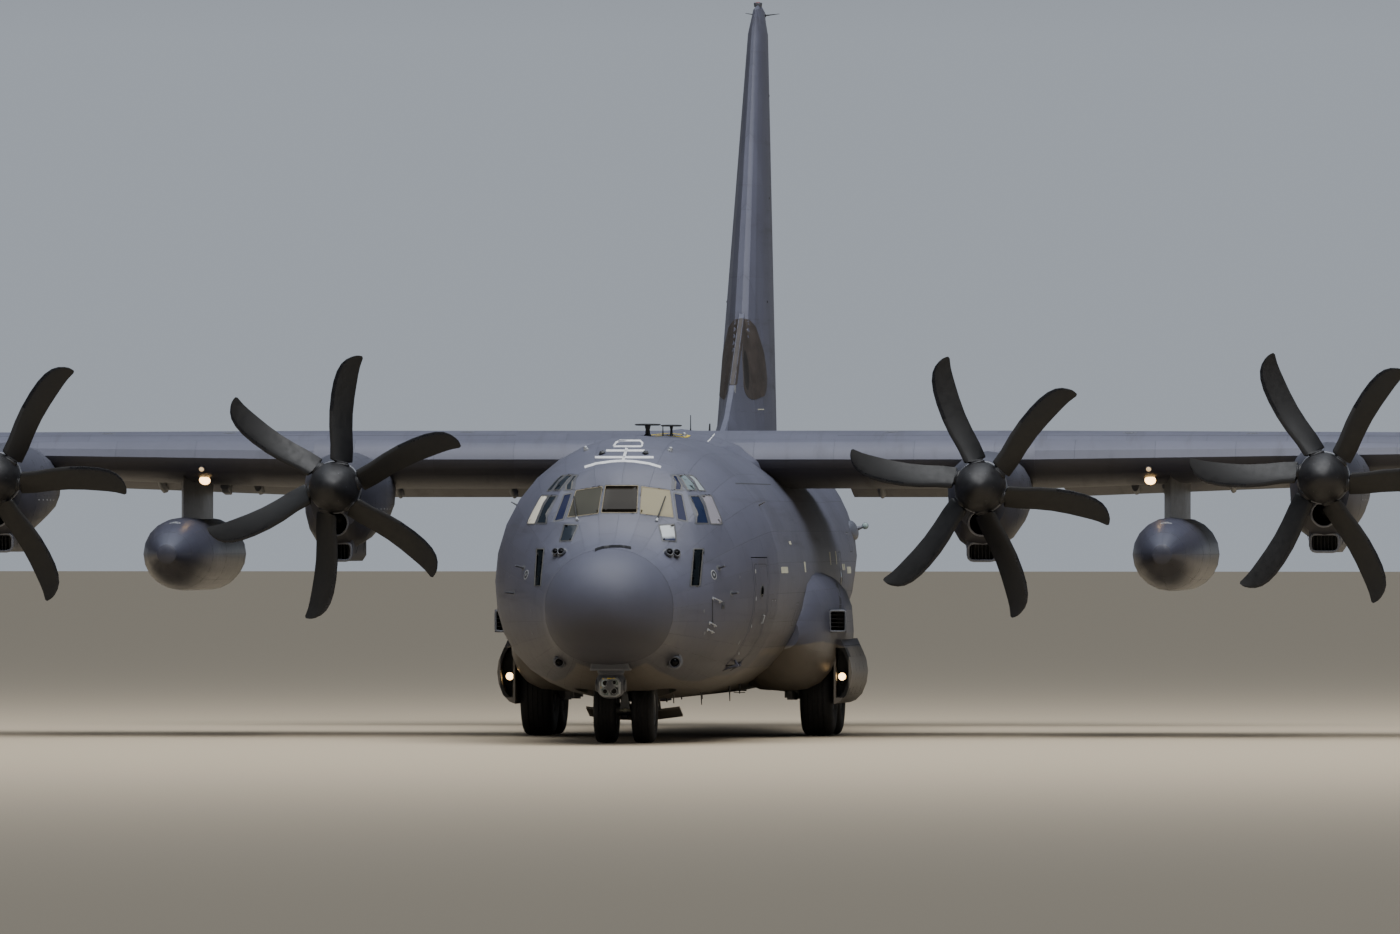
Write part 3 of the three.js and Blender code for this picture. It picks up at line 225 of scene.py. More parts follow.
CABIN_PAINT = 0x54584F
# Near black, painted in as shade in recesses and on parts that stand in shade
PAINTED_SHADE_BLACK = 0x0D0D0F
HULL_MIDDLE, HULL_RADIUS = 0.93, 1.05
# The tail's middle line: from one y to another, it rises from one z to another
UPSWEEP = (1.7, 5.3, 1.15, 1.95)


def cabin(s):
    """1 on the faces that look inwards, towards the fuselage's middle line, 0 on the outer skin"""
    x, y, z = s.split()
    facing = s.split(s.node("ShaderNodeTexCoord").outputs["Normal"])
    middle = s.span(y, *UPSWEEP)
    across = s.mul(x, facing[0])
    upright = s.mul(s.sub(z, middle), facing[2])
    return s.math("LESS_THAN", s.add(across, upright), -0.25)


def inside_box(s, low, high):
    """1 inside a box and its mirror image, 0 outside. Its corners are in the aircraft's millimetres"""
    places, share = s.split(), 1.0
    for axis in range(3):
        place = s.math("ABSOLUTE", places[0]) if axis == 0 else places[axis]
        share = s.mul(share, s.math("GREATER_THAN", place, at(*low)[axis]))
        share = s.mul(share, s.math("LESS_THAN", place, at(*high)[axis]))
    return share


def gear_hollow_shade(s):
    """Painted shade in the lamp bays in the gear doors, and in the scoops on the sponsons"""
    bay = inside_box(s, (2504, 11800, 599), (2701, 12411, 1371))
    scoop = inside_box(s, (2479, 11310, 1639), (2701, 11901, 1931))
    return s.math("MAXIMUM", bay, scoop)


def intake_shade(x0, z0):
    """Painted shade in the engine's air intake and the oil cooler's mouth below it, in the two nacelles at one
    distance out
    """

    def share(s):
        x, y, z = s.split()
        across = s.sub(s.math("ABSOLUTE", x), x0 * MM)
        back = s.sub(y, at(0, 9000, 0).y)
        height = s.sub(s.sub(z, (z0 - 560) * MM), s.mul(back, 0.1167))
        squares = [s.math("POWER", s.math("ABSOLUTE", distance), 2.0) for distance in (across, height)]
        reach = s.math("SQRT", s.add(*squares))
        wall = s.add(reach, s.mul(back, 0.0333))
        bore = s.mul(s.math("LESS_THAN", wall, 0.0965), s.math("LESS_THAN", back, 0.605))
        mouth = inside_box(s, (x0 - 192, 8000, z0 - 1112), (x0 + 192, 9702, z0 - 878))
        return s.math("MAXIMUM", bore, mouth)

    return share


def tank_pylon_shade(s):
    """Painted shade on the pylons, which stand in the wing's shade"""
    return s.mul(s.span(s.split()[2], 1.68, 1.72), 0.72)


# How a skin's panels are laid out: each gives the ways along and across a surface, in metres
def round_hull(s):
    """Round the fuselage's middle line"""
    x, y, z = s.split()
    angle = s.math("ARCTAN2", x, s.sub(z, HULL_MIDDLE))
    return y, s.mul(angle, HULL_RADIUS)


def flat_wing(s):
    x, y, _ = s.split()
    return x, y


def upright_fin(s):
    _, y, z = s.split()
    return z, y


def tube_along(x0, z0, radius):
    """Round a line along Y on each side of the aircraft. The radius is in metres"""

    def layout(s):
        x, y, z = s.split()
        across = s.sub(s.math("ABSOLUTE", x), x0 * MM)
        angle = s.math("ARCTAN2", across, s.sub(z, z0 * MM))
        return y, s.mul(angle, radius)

    return layout


def painted_skin(
    name, colour, layout, panel, roughness=0.5, line=0.0016, grime=0.5, streak=(0.5, 0.12, 2.2), lower=None,
    painted_shade=None, inner=None, waviness=0.9
):
    """Satin paint over riveted panels: lapped panel seams, each panel a little off the next, dirt and run marks,
    painted shade that darkens faces looking down and, where a mask says, painted shade in near black
    """
    s = Shader(name, Metallic=0.0, IOR=1.5)
    along, across = layout(s)
    seams = {
        "Vector": s.vector(along, across),
        "Color1": (0, 0, 0, 1),
        "Color2": (1, 1, 1, 1),
        "Mortar": (0.5, 0.5, 0.5, 1),
        "Scale": 1.0,
        "Mortar Size": line,
        "Mortar Smooth": 0.35,
        "Bias": 0.0,
        "Brick Width": panel[0],
        "Row Height": panel[1],
    }
    panels = s.node("ShaderNodeTexBrick", seams, offset=0.37, offset_frequency=2, squash=1.0)
    seam = panels.outputs["Fac"]
    shade = s.node("ShaderNodeRGBToBW", {"Color": panels.outputs["Color"]}).outputs[0]
    cloud = s.noise(0.9, detail=5)
    fine = s.noise(14, detail=4, roughness=0.65)
    runs = s.noise(3.0, detail=6, roughness=0.6, vector=s.scaled(*streak))
    base = linear(colour)
    tone = s.add(s.mul(cloud, 0.6), s.mul(shade, 0.16))
    tone = s.add(tone, s.mul(fine, 0.3))
    body = s.blend(s.span(tone, 0.32, 0.72), toned(base, 0.83), toned(base, 1.17))
    dirt = s.mul(s.span(runs, 0.52, 0.78, smooth=True), grime)
    body = s.blend(dirt, body, toned(base, 0.62, 0.58, 0.52))
    body = s.blend(s.mul(seam, 0.55), body, toned(base, 0.45))
    if lower:
        body = s.blend(lower(s), body, linear(LOWER_PAINT))
    # Painted shade: faces that look down are multiplied darker
    body = s.blend(s.underside(), body, UNDERSIDE_SHADE, kind="MULTIPLY")
    if inner:
        body = s.blend(inner(s), body, linear(CABIN_PAINT))
    # Painted shade: near black where the mask picks a recess or a shaded part
    if painted_shade:
        body = s.blend(painted_shade(s), body, linear(PAINTED_SHADE_BLACK))
    s.out("Base Color", body)
    gloss = s.add(s.mul(fine, 0.14), roughness - 0.07)
    gloss = s.add(gloss, s.mul(dirt, 0.15))
    s.out("Roughness", gloss)
    grooves = s.mul(seam, -1.0)
    height = s.add(grooves, s.mul(s.noise(60, detail=2), 0.12))
    height = s.add(height, s.mul(s.noise(2.2, detail=1), waviness))
    s.bump(height, 0.0012)
    return s.material


def finish_of(
    name, colour, roughness, metallic=0.0, variation=0.12, scale=9.0, bumps=0.0004, coat=0.0, grain=120
):
    """A plain finish with the blotches, dust and fine grain that keep it from looking like one flat colour"""
    s = Shader(name, Metallic=metallic, Coat_Weight=coat)
    blotch = s.noise(scale, detail=5, roughness=0.6)
    darker, lighter = (toned(linear(colour), 1 + change) for change in (-variation, variation))
    s.out("Base Color", s.blend(s.span(blotch, 0.3, 0.7), darker, lighter))
    smoother, rougher = max(roughness - 0.08, 0.03), roughness + 0.08
    s.out("Roughness", s.span(s.noise(scale * 4, detail=3), 0.3, 0.7, smoother, rougher))
    s.bump(s.noise(grain, detail=2), bumps)
    return s.material


def glass_of(name, colour, roughness, low=0.0, high=1.0, lower_colour=None):
    """Coated glass that lets no light through and reflects little; its colour can be a painted reflection. Below a
    soft edge between two heights in metres, it can have another colour
    """
    s = Shader(name, Metallic=0.0, IOR=1.52, Transmission_Weight=0.0, Specular_IOR_Level=0.1)
    film = s.noise(7.0, detail=4, vector=s.scaled(1.0, 1.0, 0.5))
    base = linear(colour)
    tint = s.blend(s.mul(film, 0.25), base, toned(base, 0.55))
    if lower_colour is not None:
        _, _, z = s.split()
        edge = s.add(z, s.mul(s.noise(9.0, detail=3), 0.05))
        tint = s.blend(s.span(edge, low, high, smooth=True), linear(lower_colour), tint)
    s.out("Base Color", tint)
    s.out("Roughness", s.span(film, 0.3, 0.8, roughness, roughness + 0.1))
    s.bump(s.noise(3.0, detail=1), 0.0015)
    return s.material


def lamp_of(name, colour, strength):
    """A lit lamp: bright in the middle of its facets, with a little of its lens pattern left"""
    s = Shader(name, Roughness=0.1)
    ribs = s.noise(90, detail=1)
    s.out("Base Color", s.blend(ribs, linear(0xFFF1D0), linear(0xC9A060)))
    s.out("Emission Color", s.blend(ribs, linear(colour), linear(0xFFE9B8)))
    s.surface.inputs["Emission Strength"].default_value = strength
    return s.material


# Geometry
def frame_along(direction):
    """Two unit vectors square to a direction and to each other"""
    direction = direction.normalized()
    aside = ABOVE if abs(direction.z) < 0.9 else BACK
    u = direction.cross(aside).normalized()
    return u, direction.cross(u).normalized()


def rounded(outline, radius, steps=3):
    """A 2D outline with its corners rounded"""
    points = [Vector(p) for p in outline]
    made = []
    for before, corner, after in zip(points[-1:] + points[:-1], points, points[1:] + points[:1]):
        back, on = before - corner, after - corner
        reach = min(radius, back.length * 0.45, on.length * 0.45)
        start, end = corner + back.normalized() * reach, corner + on.normalized() * reach
        for i in range(steps + 1):
            t = i / steps
            made.append(start * (1 - t) ** 2 + corner * 2 * t * (1 - t) + end * t**2)
    return [tuple(p) for p in made]


def resampled(path, step, closed=False):
    """A path in 2D or 3D cut into steps of about one length"""
    points = [Vector(p) for p in path]
    pairs = list(zip(points, points[1:] + (points[:1] if closed else [])))
    made = []
    for a, b in pairs:
        count = max(1, round((b - a).length / step))
        made += [a.lerp(b, i / count) for i in range(count)]
    return made if closed else [*made, points[-1]]


RAY_SPREAD = 0.005
GRAZING = 0.02  # The least cosine between a ray and a face's normal at which the hit counts


class Skin:
    """The surface of some CAD nodes, to set things on"""

    def __init__(self, *names, lifts=None):
        """lifts says how much nearer a node's surface is taken to be, in metres, where it lies in a recess"""
        verts, faces, self.lift = [], [], []
        for name in names:
            mesh = NODES[name].data
            start = len(verts)
            verts += [v.co.copy() for v in mesh.vertices]
            self.lift += [(lifts or {}).get(name, 0.0)] * len(mesh.polygons)
            faces += [[start + i for i in p.vertices] for p in mesh.polygons]
        self.tree = BVHTree.FromPolygons(verts, faces)

    def shot(self, origin, direction):
        """Where a ray meets the skin, and the skin's normal. Four rays close by steady it at narrow seams"""
        u, v = frame_along(direction)
        hits = []
        for a, b in ((0, 0), (1, 0), (-1, 0), (0, 1), (0, -1)):
            place, normal, face, _ = self.tree.ray_cast(origin + (u * a + v * b) * RAY_SPREAD, direction)
            if place is None or abs(normal.dot(direction)) < GRAZING:
                continue
            if normal.dot(direction) > 0:
                normal = -normal
            place = place + normal * self.lift[face]
            hits.append(((place - origin).dot(normal) / direction.dot(normal), normal))
        if not hits:
            return None
        reach, normal = sorted(hits, key=lambda hit: hit[0])[len(hits) // 2]
        return origin + direction * reach, normal

    def seen(self):
        """Places given as pixels of the photograph"""
        return lambda px, py: self.shot(EYE, towards(px, py))

    def side(self, side):
        """Places given as (y, z) on the left (1) or right (-1) side"""
        return lambda y, z: self.shot(at(side * 9000, y, z), Vector((-side, 0, 0)))

    def above(self, sign=1):
        """Places given as (x, y), seen from above (1) or below (-1)"""
        return lambda x, y: self.shot(at(x, y, sign * 20000), Vector((0, 0, -sign)))

    def front(self, start=-3000):
        """Places given as (x, z), seen from ahead"""
        return lambda x, z: self.shot(at(x, start, z), Vector((0, 1, 0)))


def sized(profile):
    """A profile in millimetres, in metres of the model"""
    return [(a * MM, b * MM) for a, b in profile]


class Build:
    """Gathers the shapes of one piece, each of them closed, then makes the piece"""

    def __init__(self):
        self.verts, self.faces = [], []

    def take(self, verts, faces):
        start = len(self.verts)
        self.verts += [Vector(v) for v in verts]
        self.faces += [tuple(start + i for i in f) for f in faces]
        return self

    def rings(self, rings, closed=False):
        """A skin over rings of as many points each, capped at both ends unless the rings close on themselves"""
        n, count = len(rings[0]), len(rings)
        faces = []
        for k in range(count if closed else count - 1):
            a, b = k * n, ((k + 1) % count) * n
            faces += [(a + i, a + (i + 1) % n, b + (i + 1) % n, b + i) for i in range(n)]
        if not closed:
            faces += [tuple(reversed(range(n))), tuple((count - 1) * n + i for i in range(n))]
        return self.take([p for ring in rings for p in ring], faces)

    def tube(self, points, radius, sides=8, closed=False):
        """A round bar along points. The radius is one number, or one for each point"""
        points = [Vector(p) for p in points]
        radii = radius if isinstance(radius, (list, tuple)) else [radius] * len(points)
        rings, u = [], None
        for i, (p, r) in enumerate(zip(points, radii)):
            before = points[i - 1] if i or closed else p
            after = points[(i + 1) % len(points)] if i + 1 < len(points) or closed else p
            ahead = (after - before).normalized()
            u = frame_along(ahead)[0] if u is None else (u - ahead * u.dot(ahead)).normalized()
            v = ahead.cross(u)
            turn = [2 * math.pi * k / sides for k in range(sides)]
            rings.append([p + (u * math.cos(t) + v * math.sin(t)) * r for t in turn])
        return self.rings(rings, closed)

    def turned(self, profile, origin, axis, sides=24):
        """A turned form from a profile of (radius, distance along the axis). Radius 0 closes an end"""
        origin, axis = Vector(origin), Vector(axis).normalized()
        u, v = frame_along(axis)
        verts, rows = [], []
        for radius, along in profile:
            centre = origin + axis * along
            if radius <= 1e-7:
                rows.append([len(verts)])
                verts.append(centre)
                continue
            rows.append(list(range(len(verts), len(verts) + sides)))
            for k in range(sides):
                t = 2 * math.pi * k / sides
                out = u * math.cos(t) + v * math.sin(t)
                verts.append(centre + out * radius)
        faces = []
        for a, b in zip(rows, rows[1:]):
            for k in range(sides):
                n = (k + 1) % sides
                if len(a) == 1 and len(b) > 1:
                    faces.append((a[0], b[n], b[k]))
                elif len(b) == 1 and len(a) > 1:
                    faces.append((a[k], a[n], b[0]))
                elif len(a) > 1:
                    faces.append((a[k], a[n], b[n], b[k]))
        if len(rows[0]) > 1:
            faces.append(tuple(reversed(rows[0])))
        if len(rows[-1]) > 1:
            faces.append(tuple(rows[-1]))
        return self.take(verts, faces)

    def block(self, centre, size, axes=None, bevel=0.15):
        """A block with chamfered edges, its sides along three axes"""
        centre = Vector(centre)
        axes = [Vector(a).normalized() for a in (axes or (ASIDE, BACK, ABOVE))]
        half = [s / 2 for s in size]
        cut = min(half) * bevel * 2
        a, b, c = axes
        rings = []
        for w, inset in ((-half[2], cut), (-half[2] + cut, 0), (half[2] - cut, 0), (half[2], cut)):
            p, q = half[0] - inset, half[1] - inset
            corner = [(p - cut, -q), (p, -q + cut), (p, q - cut), (p - cut, q)]
            corner += [(-p + cut, q), (-p, q - cut), (-p, -q + cut), (-p + cut, -q)]
            rings.append([centre + a * s + b * t + c * w for s, t in corner])
        return self.rings(rings)

    def prism(self, outline, depth):
        """A 3D outline pushed along a vector"""
        first = [Vector(p) for p in outline]
        return self.rings([first, [p + Vector(depth) for p in first]])

    def plate(self, outline, project, rise, sink=0.004, step=None, hole=None):
        """A thin plate that follows a skin. Its outline, and a hole's, are in the projection's own units"""
        flat = bmesh.new()
        for loop in [outline] + ([hole] if hole else []):
            ring = [flat.verts.new((p[0], p[1], 0)) for p in loop]
            for a, b in zip(ring, ring[1:] + ring[:1]):
                flat.edges.new((a, b))
        bmesh.ops.triangle_fill(flat, edges=flat.edges[:], use_beauty=True, use_dissolve=False)
        if step:
            for axis in (0, 1):
                values = [p[axis] for p in outline]
                low, count = min(values), max(1, math.ceil((max(values) - min(values)) / step))
                for i in range(1, count):
                    middle, normal = [0, 0, 0], [0, 0, 0]
                    middle[axis], normal[axis] = low + (max(values) - low) * i / count, 1
                    everything = flat.verts[:] + flat.edges[:] + flat.faces[:]
                    bmesh.ops.bisect_plane(flat, geom=everything, plane_co=middle, plane_no=normal)
        flat.verts.index_update()
        top, bottom = [], []
        for v in flat.verts:
            hit = project(v.co.x, v.co.y)
            if hit is None:
                raise ValueError(f"a plate misses its skin at {v.co.x:.1f}, {v.co.y:.1f}")
            place, normal = hit
            top.append(place + normal * rise)
            bottom.append(place - normal * sink)
        count = len(top)
        faces = []
        for f in flat.faces:
            order = [v.index for v in f.verts]
            a, b, c = (top[i] for i in order[:3])
            if (b - a).cross(c - a).dot(top[order[0]] - bottom[order[0]]) < 0:
                order = order[::-1]
            faces += [tuple(order), tuple(i + count for i in reversed(order))]
        flat.free()
        directed = {(f[i], f[(i + 1) % len(f)]) for f in faces if max(f) < count for i in range(len(f))}
        rim = [(b, a, a + count, b + count) for a, b in directed if (b, a) not in directed]
        return self.take(top + bottom, faces + rim)

    def strip(self, path, width, project, rise, sink=0.004, step=None, closed=False):
        """A ribbon that follows a skin along a path in the projection's own units"""
        points = resampled(path, step, closed) if step else [Vector(p) for p in path]
        rings = []
        for i, p in enumerate(points):
            before = points[i - 1] if i or closed else p
            after = points[(i + 1) % len(points)] if i + 1 < len(points) or closed else p
            ahead = (after - before).normalized()
            aside = Vector((-ahead.y, ahead.x)) * width / 2
            hits = [project(*(p + aside)), project(*(p - aside))]
            if None in hits:
                raise ValueError(f"a strip misses its skin at {tuple(p)}")
            (a, na), (b, nb) = hits
            rings.append([a + na * rise, b + nb * rise, b - nb * sink, a - na * sink])
        return self.rings(rings, closed)

    def piece(self, name, material, smooth=35, body="airframe", replaces=()):
        """Makes the object, with its edges sharp beyond an angle, on its body"""
        mesh = bpy.data.meshes.new(name)
        mesh.from_pydata([tuple(v) for v in self.verts], [], self.faces)
        tidy = bmesh.new()
        tidy.from_mesh(mesh)
        bmesh.ops.recalc_face_normals(tidy, faces=tidy.faces[:])
        tidy.to_mesh(mesh)
        tidy.free()
        mesh.materials.append(material)
        mesh.shade_smooth()
        mesh.set_sharp_from_angle(angle=math.radians(smooth))
        made = bpy.data.objects.new(name, mesh)
        bpy.context.scene.collection.objects.link(made)
        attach(made, body)
        if replaces:
            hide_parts(*replaces)
        return made


def builds(count):
    return [Build() for _ in range(count)]


# Finishes
GREY = 0x525463
NACELLE_GREY = 0x454753
HULL_PAINT = painted_skin(
    "hull_paint", GREY, round_hull, (0.42, 0.21), roughness=0.48, lower=belly_share, inner=cabin
)
SPONSON_PAINT = painted_skin(
    "sponson_paint", GREY, round_hull, (0.42, 0.21), roughness=0.46, lower=belly_share, painted_shade=gear_hollow_shade
)
RADOME_PAINT = painted_skin("radome_paint", 0x474958, round_hull, (9, 9), roughness=0.6, line=0.0, grime=0.2)
WING_PAINT = painted_skin("wing_paint", GREY, flat_wing, (0.62, 0.23), roughness=0.5, streak=(2.2, 0.15, 1.0))
FIN_PAINT = painted_skin("fin_paint", GREY, upright_fin, (0.55, 0.3), roughness=0.5, streak=(1.0, 0.2, 1.6))
NACELLE_INNER, NACELLE_OUTER = [
    painted_skin(
        f"nacelle_{kind}", NACELLE_GREY, tube_along(x0, z0, 0.3), (0.33, 0.2), roughness=0.46, painted_shade=intake_shade(x0, z0)
    )
    for kind, x0, z0 in NACELLES
]
TANK_PAINT = painted_skin(
    "tank_paint", 0x434553, tube_along(TANK_X, TANK_Z, 0.28), (0.5, 0.22), roughness=0.36, grime=0.12,
    painted_shade=tank_pylon_shade, waviness=0.15
)
BLADE_BLACK = finish_of("blade_black", 0x0B0B0D, 0.5, scale=5.0, variation=0.2)
TYRE_RUBBER = finish_of("tyre_rubber", 0x17171A, 0.72, scale=22, variation=0.25, bumps=0.0008, grain=160)
GEAR_METAL = finish_of("gear_metal", 0x6B6C6E, 0.42, metallic=0.4, scale=26, variation=0.2)
INTERIOR = finish_of("interior_paint", 0x3E403F, 0.6, scale=18, variation=0.15)
SEAT_CLOTH = finish_of("seat_cloth", 0x3A3B34, 0.9, scale=60, variation=0.25, bumps=0.0012, grain=420)
SEAT_TRIM = finish_of("seat_trim", 0x24251F, 0.8, scale=60, variation=0.2, bumps=0.0006, grain=500)
STRAP_TAN = finish_of("strap_tan", 0x6B6658, 0.85, scale=80, variation=0.2, bumps=0.0008, grain=600)
ENGINE_METAL = finish_of("engine_metal", 0x54524E, 0.4, metallic=0.8, scale=30, variation=0.3)
BLADE_EDGE = finish_of("blade_edge", 0x26272B, 0.3, metallic=0.5, scale=14, variation=0.3)
BOOT_RUBBER = finish_of("boot_rubber", 0x121214, 0.62, scale=20)
HUB_DARK = finish_of("hub_dark", 0x1A1A1D, 0.5, scale=24, variation=0.3)
SPINNER_PAINT = finish_of("spinner_paint", 0x141417, 0.5, scale=5, variation=0.25)
BOLT_STEEL = finish_of("bolt_steel", 0x55565A, 0.4, metallic=0.8, scale=80)
RIM_PAINT = finish_of("rim_paint", 0x5E6066, 0.5, scale=26, variation=0.25)
MARK_WHITE = finish_of("mark_white", 0xCDCED0, 0.6, scale=30, variation=0.12)
MARK_YELLOW = finish_of("mark_yellow", 0xC9B23A, 0.55, scale=40)
SEAM_GREY = finish_of("seam_grey", 0x62646A, 0.5, scale=24)
SENSOR_BLACK = finish_of("sensor_black", 0x202124, 0.45, scale=30)
SEAM_DARK = finish_of("seam_dark", 0x2C2E35, 0.55, scale=24)
BROW_GREY = finish_of("brow_grey", 0x26282E, 0.6, scale=24)
LENS_BLACK = glass_of("lens_black", 0x0B0C10, 0.05)
FRAME_PAINT = finish_of("frame_paint", 0x46484F, 0.5, scale=30)
SEAL_TAN = finish_of("seal_tan", 0x85795F, 0.65, scale=40, variation=0.2)
SEAL_GREY = finish_of("seal_grey", 0x5C5A56, 0.65, scale=40, variation=0.2)
WIPER_BLACK = finish_of("wiper_black", 0x0B0B0D, 0.6, scale=40)
PIVOT_GREY = finish_of("pivot_grey", 0x9DA0A4, 0.45, metallic=0.3, scale=60)
TURRET_FACE = finish_of("turret_face", 0x8E9295, 0.35, metallic=0.3, scale=40, variation=0.15)
TURRET_CLEAR = glass_of("turret_clear", 0xB8C6CF, 0.06)
TURRET_MIRROR = glass_of("turret_mirror", 0x5C6A66, 0.05)
NAVY = 0x10183A
SLATE = 0x222A33
PANES = {
    # pane: its colour, roughness, then where and into what its lower part changes: low, high, colour. The colours
    # are painted reflections of sky and ground
    "middle": (0x2B2721, 0.07, 1.78, 1.86, 0x231F1A),
    "front_left": (0x8F886F, 0.12, 1.70, 1.76, 0x837A60),
    "front_right": (0x403F36, 0.1, 1.72, 1.84, 0x34332B),
    "lower_fore_left": (0x1A2540, 0.06),
    "post_left": (NAVY, 0.06),
    "lower_aft_left": (0x86848C, 0.14),
    "post_right": (NAVY, 0.06),
    "lower_aft_right": (0xD8D4C6, 0.14),
    "quarter_left": (0xBFC4C6, 0.08, 1.54, 1.58, NAVY),
    "quarter_right": (SLATE, 0.06),
    "chin_left": (0x10161A, 0.05),
    "chin_right": (0x10161A, 0.05),
    "upper_fore_left": (NAVY, 0.06),
    "upper_middle_left": (0x6E7B80, 0.08),
    "upper_aft_left": (0x8F989C, 0.1),
    "other": (SLATE, 0.06),
}
PANE_FINISHES = {key: glass_of(f"pane_{key}", *look) for key, look in PANES.items()}
SENSOR_GREY = finish_of("sensor_grey", 0x46484F, 0.4, scale=12)
FIT_GREY = finish_of("fit_grey", 0x565964, 0.45, scale=14)
COWL_RING = finish_of("cowl_ring", 0x777A82, 0.45, scale=20, variation=0.2)
LIP_GREY = finish_of("lip_grey", 0x6C6E76, 0.4, scale=20, variation=0.2)
PATCH_BROWN = finish_of("patch_brown", 0x3A3431, 0.6, scale=8, variation=0.3)
PATCH_DARK = finish_of("patch_dark", 0x191615, 0.65, scale=8, variation=0.3)
LAMP_WARM = lamp_of("lamp_warm", 0xFFAE30, 7.0)
PANEL_LINE = finish_of("panel_line", 0x3A3C42, 0.6, scale=30)
STRIP_CREAM = finish_of("strip_cream", 0xB9B9A6, 0.5, scale=50)
SIDE_GLASS = glass_of("side_glass", 0x171C20, 0.08)
POD_LENS = glass_of("pod_lens", 0x8FA0A0, 0.1)
RED_LENS = glass_of("red_lens", 0x8A1D17, 0.12)
GREEN_LENS = glass_of("green_lens", 0x1E6B45, 0.12)
WHITE_LENS = glass_of("white_lens", 0xC9CCCB, 0.1)
LAMP_LIT = lamp_of("lamp_lit", 0xFFAE34, 7.0)
LAMP_DIM = lamp_of("lamp_dim", 0xFFC890, 0.7)

NODE_FINISHES = (
    # finish, then how the names of its nodes start. The longest start that fits a name counts
    (HULL_PAINT, "nose_shell forward_shell centre_shell aft_shell troop_door crew_door cargo_door ramp nose_door"),
    (SPONSON_PAINT, "sponson gear_door"),
    (RADOME_PAINT, "radome"),
    (WING_PAINT, "wing flap aileron tailplane elevator"),
    (FIN_PAINT, "fin rudder"),
    (NACELLE_INNER, "nacelle_inner"),
    (NACELLE_OUTER, "nacelle_outer"),
    (TANK_PAINT, "fuel_tank"),
    (BLADE_BLACK, "propeller"),
    (TYRE_RUBBER, "nose_wheels main_wheel"),
    (GEAR_METAL, "main_leg nose_leg nose_fork"),
    (ENGINE_METAL, "engine"),
    (INTERIOR, "cargo_floor flight_deck cockpit_glazing"),
    (SEAT_CLOTH, "seat"),
    (SENSOR_GREY, "sensor_turret"),
)
STARTS = {start: finish for finish, names in NODE_FINISHES for start in names.split()}
for name, node in NODES.items():
    longest = max((start for start in STARTS if name.startswith(start)), key=len)
    node.data.materials.clear()
    node.data.materials.append(STARTS[longest])


# Shading of the carried-over CAD nodes: their loose facets are welded and shaded smooth, up to an angle
def smooth_shading(angle):
    """A modifier's node group that also drops the normals that came with the nodes"""
    group = bpy.data.node_groups.new("smooth_shading", "GeometryNodeTree")
    group.interface.new_socket("Geometry", in_out="INPUT", socket_type="NodeSocketGeometry")
    group.interface.new_socket("Geometry", in_out="OUTPUT", socket_type="NodeSocketGeometry")
    add, link = group.nodes.new, group.links.new
    start, end = add("NodeGroupInput"), add("NodeGroupOutput")
    bare = add("GeometryNodeRemoveAttribute")
    bare.inputs["Name"].default_value = "custom_normal"
    weld = add("GeometryNodeMergeByDistance")
    weld.inputs["Distance"].default_value = 0.00002
    faces, edges = add("GeometryNodeSetShadeSmooth"), add("GeometryNodeSetShadeSmooth")
    faces.domain, edges.domain = "FACE", "EDGE"
    edges.inputs["Shade Smooth"].default_value = False
    fold, over = add("GeometryNodeInputMeshEdgeAngle"), add("FunctionNodeCompare")
    over.data_type, over.operation = "FLOAT", "GREATER_THAN"
    over.inputs["B"].default_value = math.radians(angle)
    link(fold.outputs["Unsigned Angle"], over.inputs["A"])
    link(over.outputs["Result"], edges.inputs["Selection"])
    chain = [start, bare, weld, faces, edges, end]
    for a, b in zip(chain, chain[1:]):
        link(a.outputs[0], b.inputs[0])
    return group


SMOOTH = smooth_shading(36)
for node in NODES.values():
    node.modifiers.new("smooth_shading", "NODES").node_group = SMOOTH


# Propellers: swept blades with cuffs at their roots, bare leading edges and a bolted spinner
BLADE = [
    # radius, chord, sweep of its middle, thickness, pitch in degrees
    (250, 150, 60, 140, 45),
    (300, 170, 58, 138, 43),
    (395, 205, 50, 128, 38),
    (418, 385, 46, 108, 36),
    (440, 398, 44, 100, 35),
    (640, 385, 15, 78, 30),
    (900, 376, -42, 58, 23),
    (1150, 370, -80, 44, 18),
    (1400, 368, -96, 34, 14.5),
    (1600, 360, -95, 28, 12),
    (1760, 334, -82, 22, 10.4),
    (1880, 292, -55, 18, 9),
    (1960, 240, -16, 14, 8.6),
    (2015, 172, 28, 11, 8.2),
    (2042, 100, 52, 8, 8),
    (2050, 44, 70, 5, 8),
]
ENGINES = {
    # place: x of the axis, its height, the first blade's angle in degrees
    "inner_left": (4950, 3840, -16.5),
    "inner_right": (-4950, 3840, 9.5),
    "outer_left": (10180, 3980, -24.5),
    "outer_right": (-10180, 3980, 34),
}
PROPELLER_Y = 8900
SECTION_POINTS = 9
CUFF = [(128, 300), (128, 372), (118, 384), (106, 388), (104, 402), (96, 408), (88, 410)]
SPINNER = [
    (0, -640), (38, -636), (78, -622), (130, -592), (186, -540), (240, -474), (290, -390), (334, -290), (362, -190),
    (379, -90), (386, -10), (386, 88), (380, 90), (380, 98), (386, 100), (386, 170), (378, 176), (340, 178),
    (340, 196), (150, 198), (150, 209), (0, 209),
]


def blade_section(chord, thickness):
    """Half a section's points from its leading edge to its trailing edge, as (across, deep)"""
    made = []
    for i in range(SECTION_POINTS):
        t = (1 - math.cos(math.pi * i / (SECTION_POINTS - 1))) / 2
        deep = 0.5 * thickness * 2.6 * (math.sqrt(t) * (1 - t) * 0.92 + 0.06 * (1 - t))
        made.append(((t - 0.5) * chord, deep if i not in (0, SECTION_POINTS - 1) else 0.0))
    return made


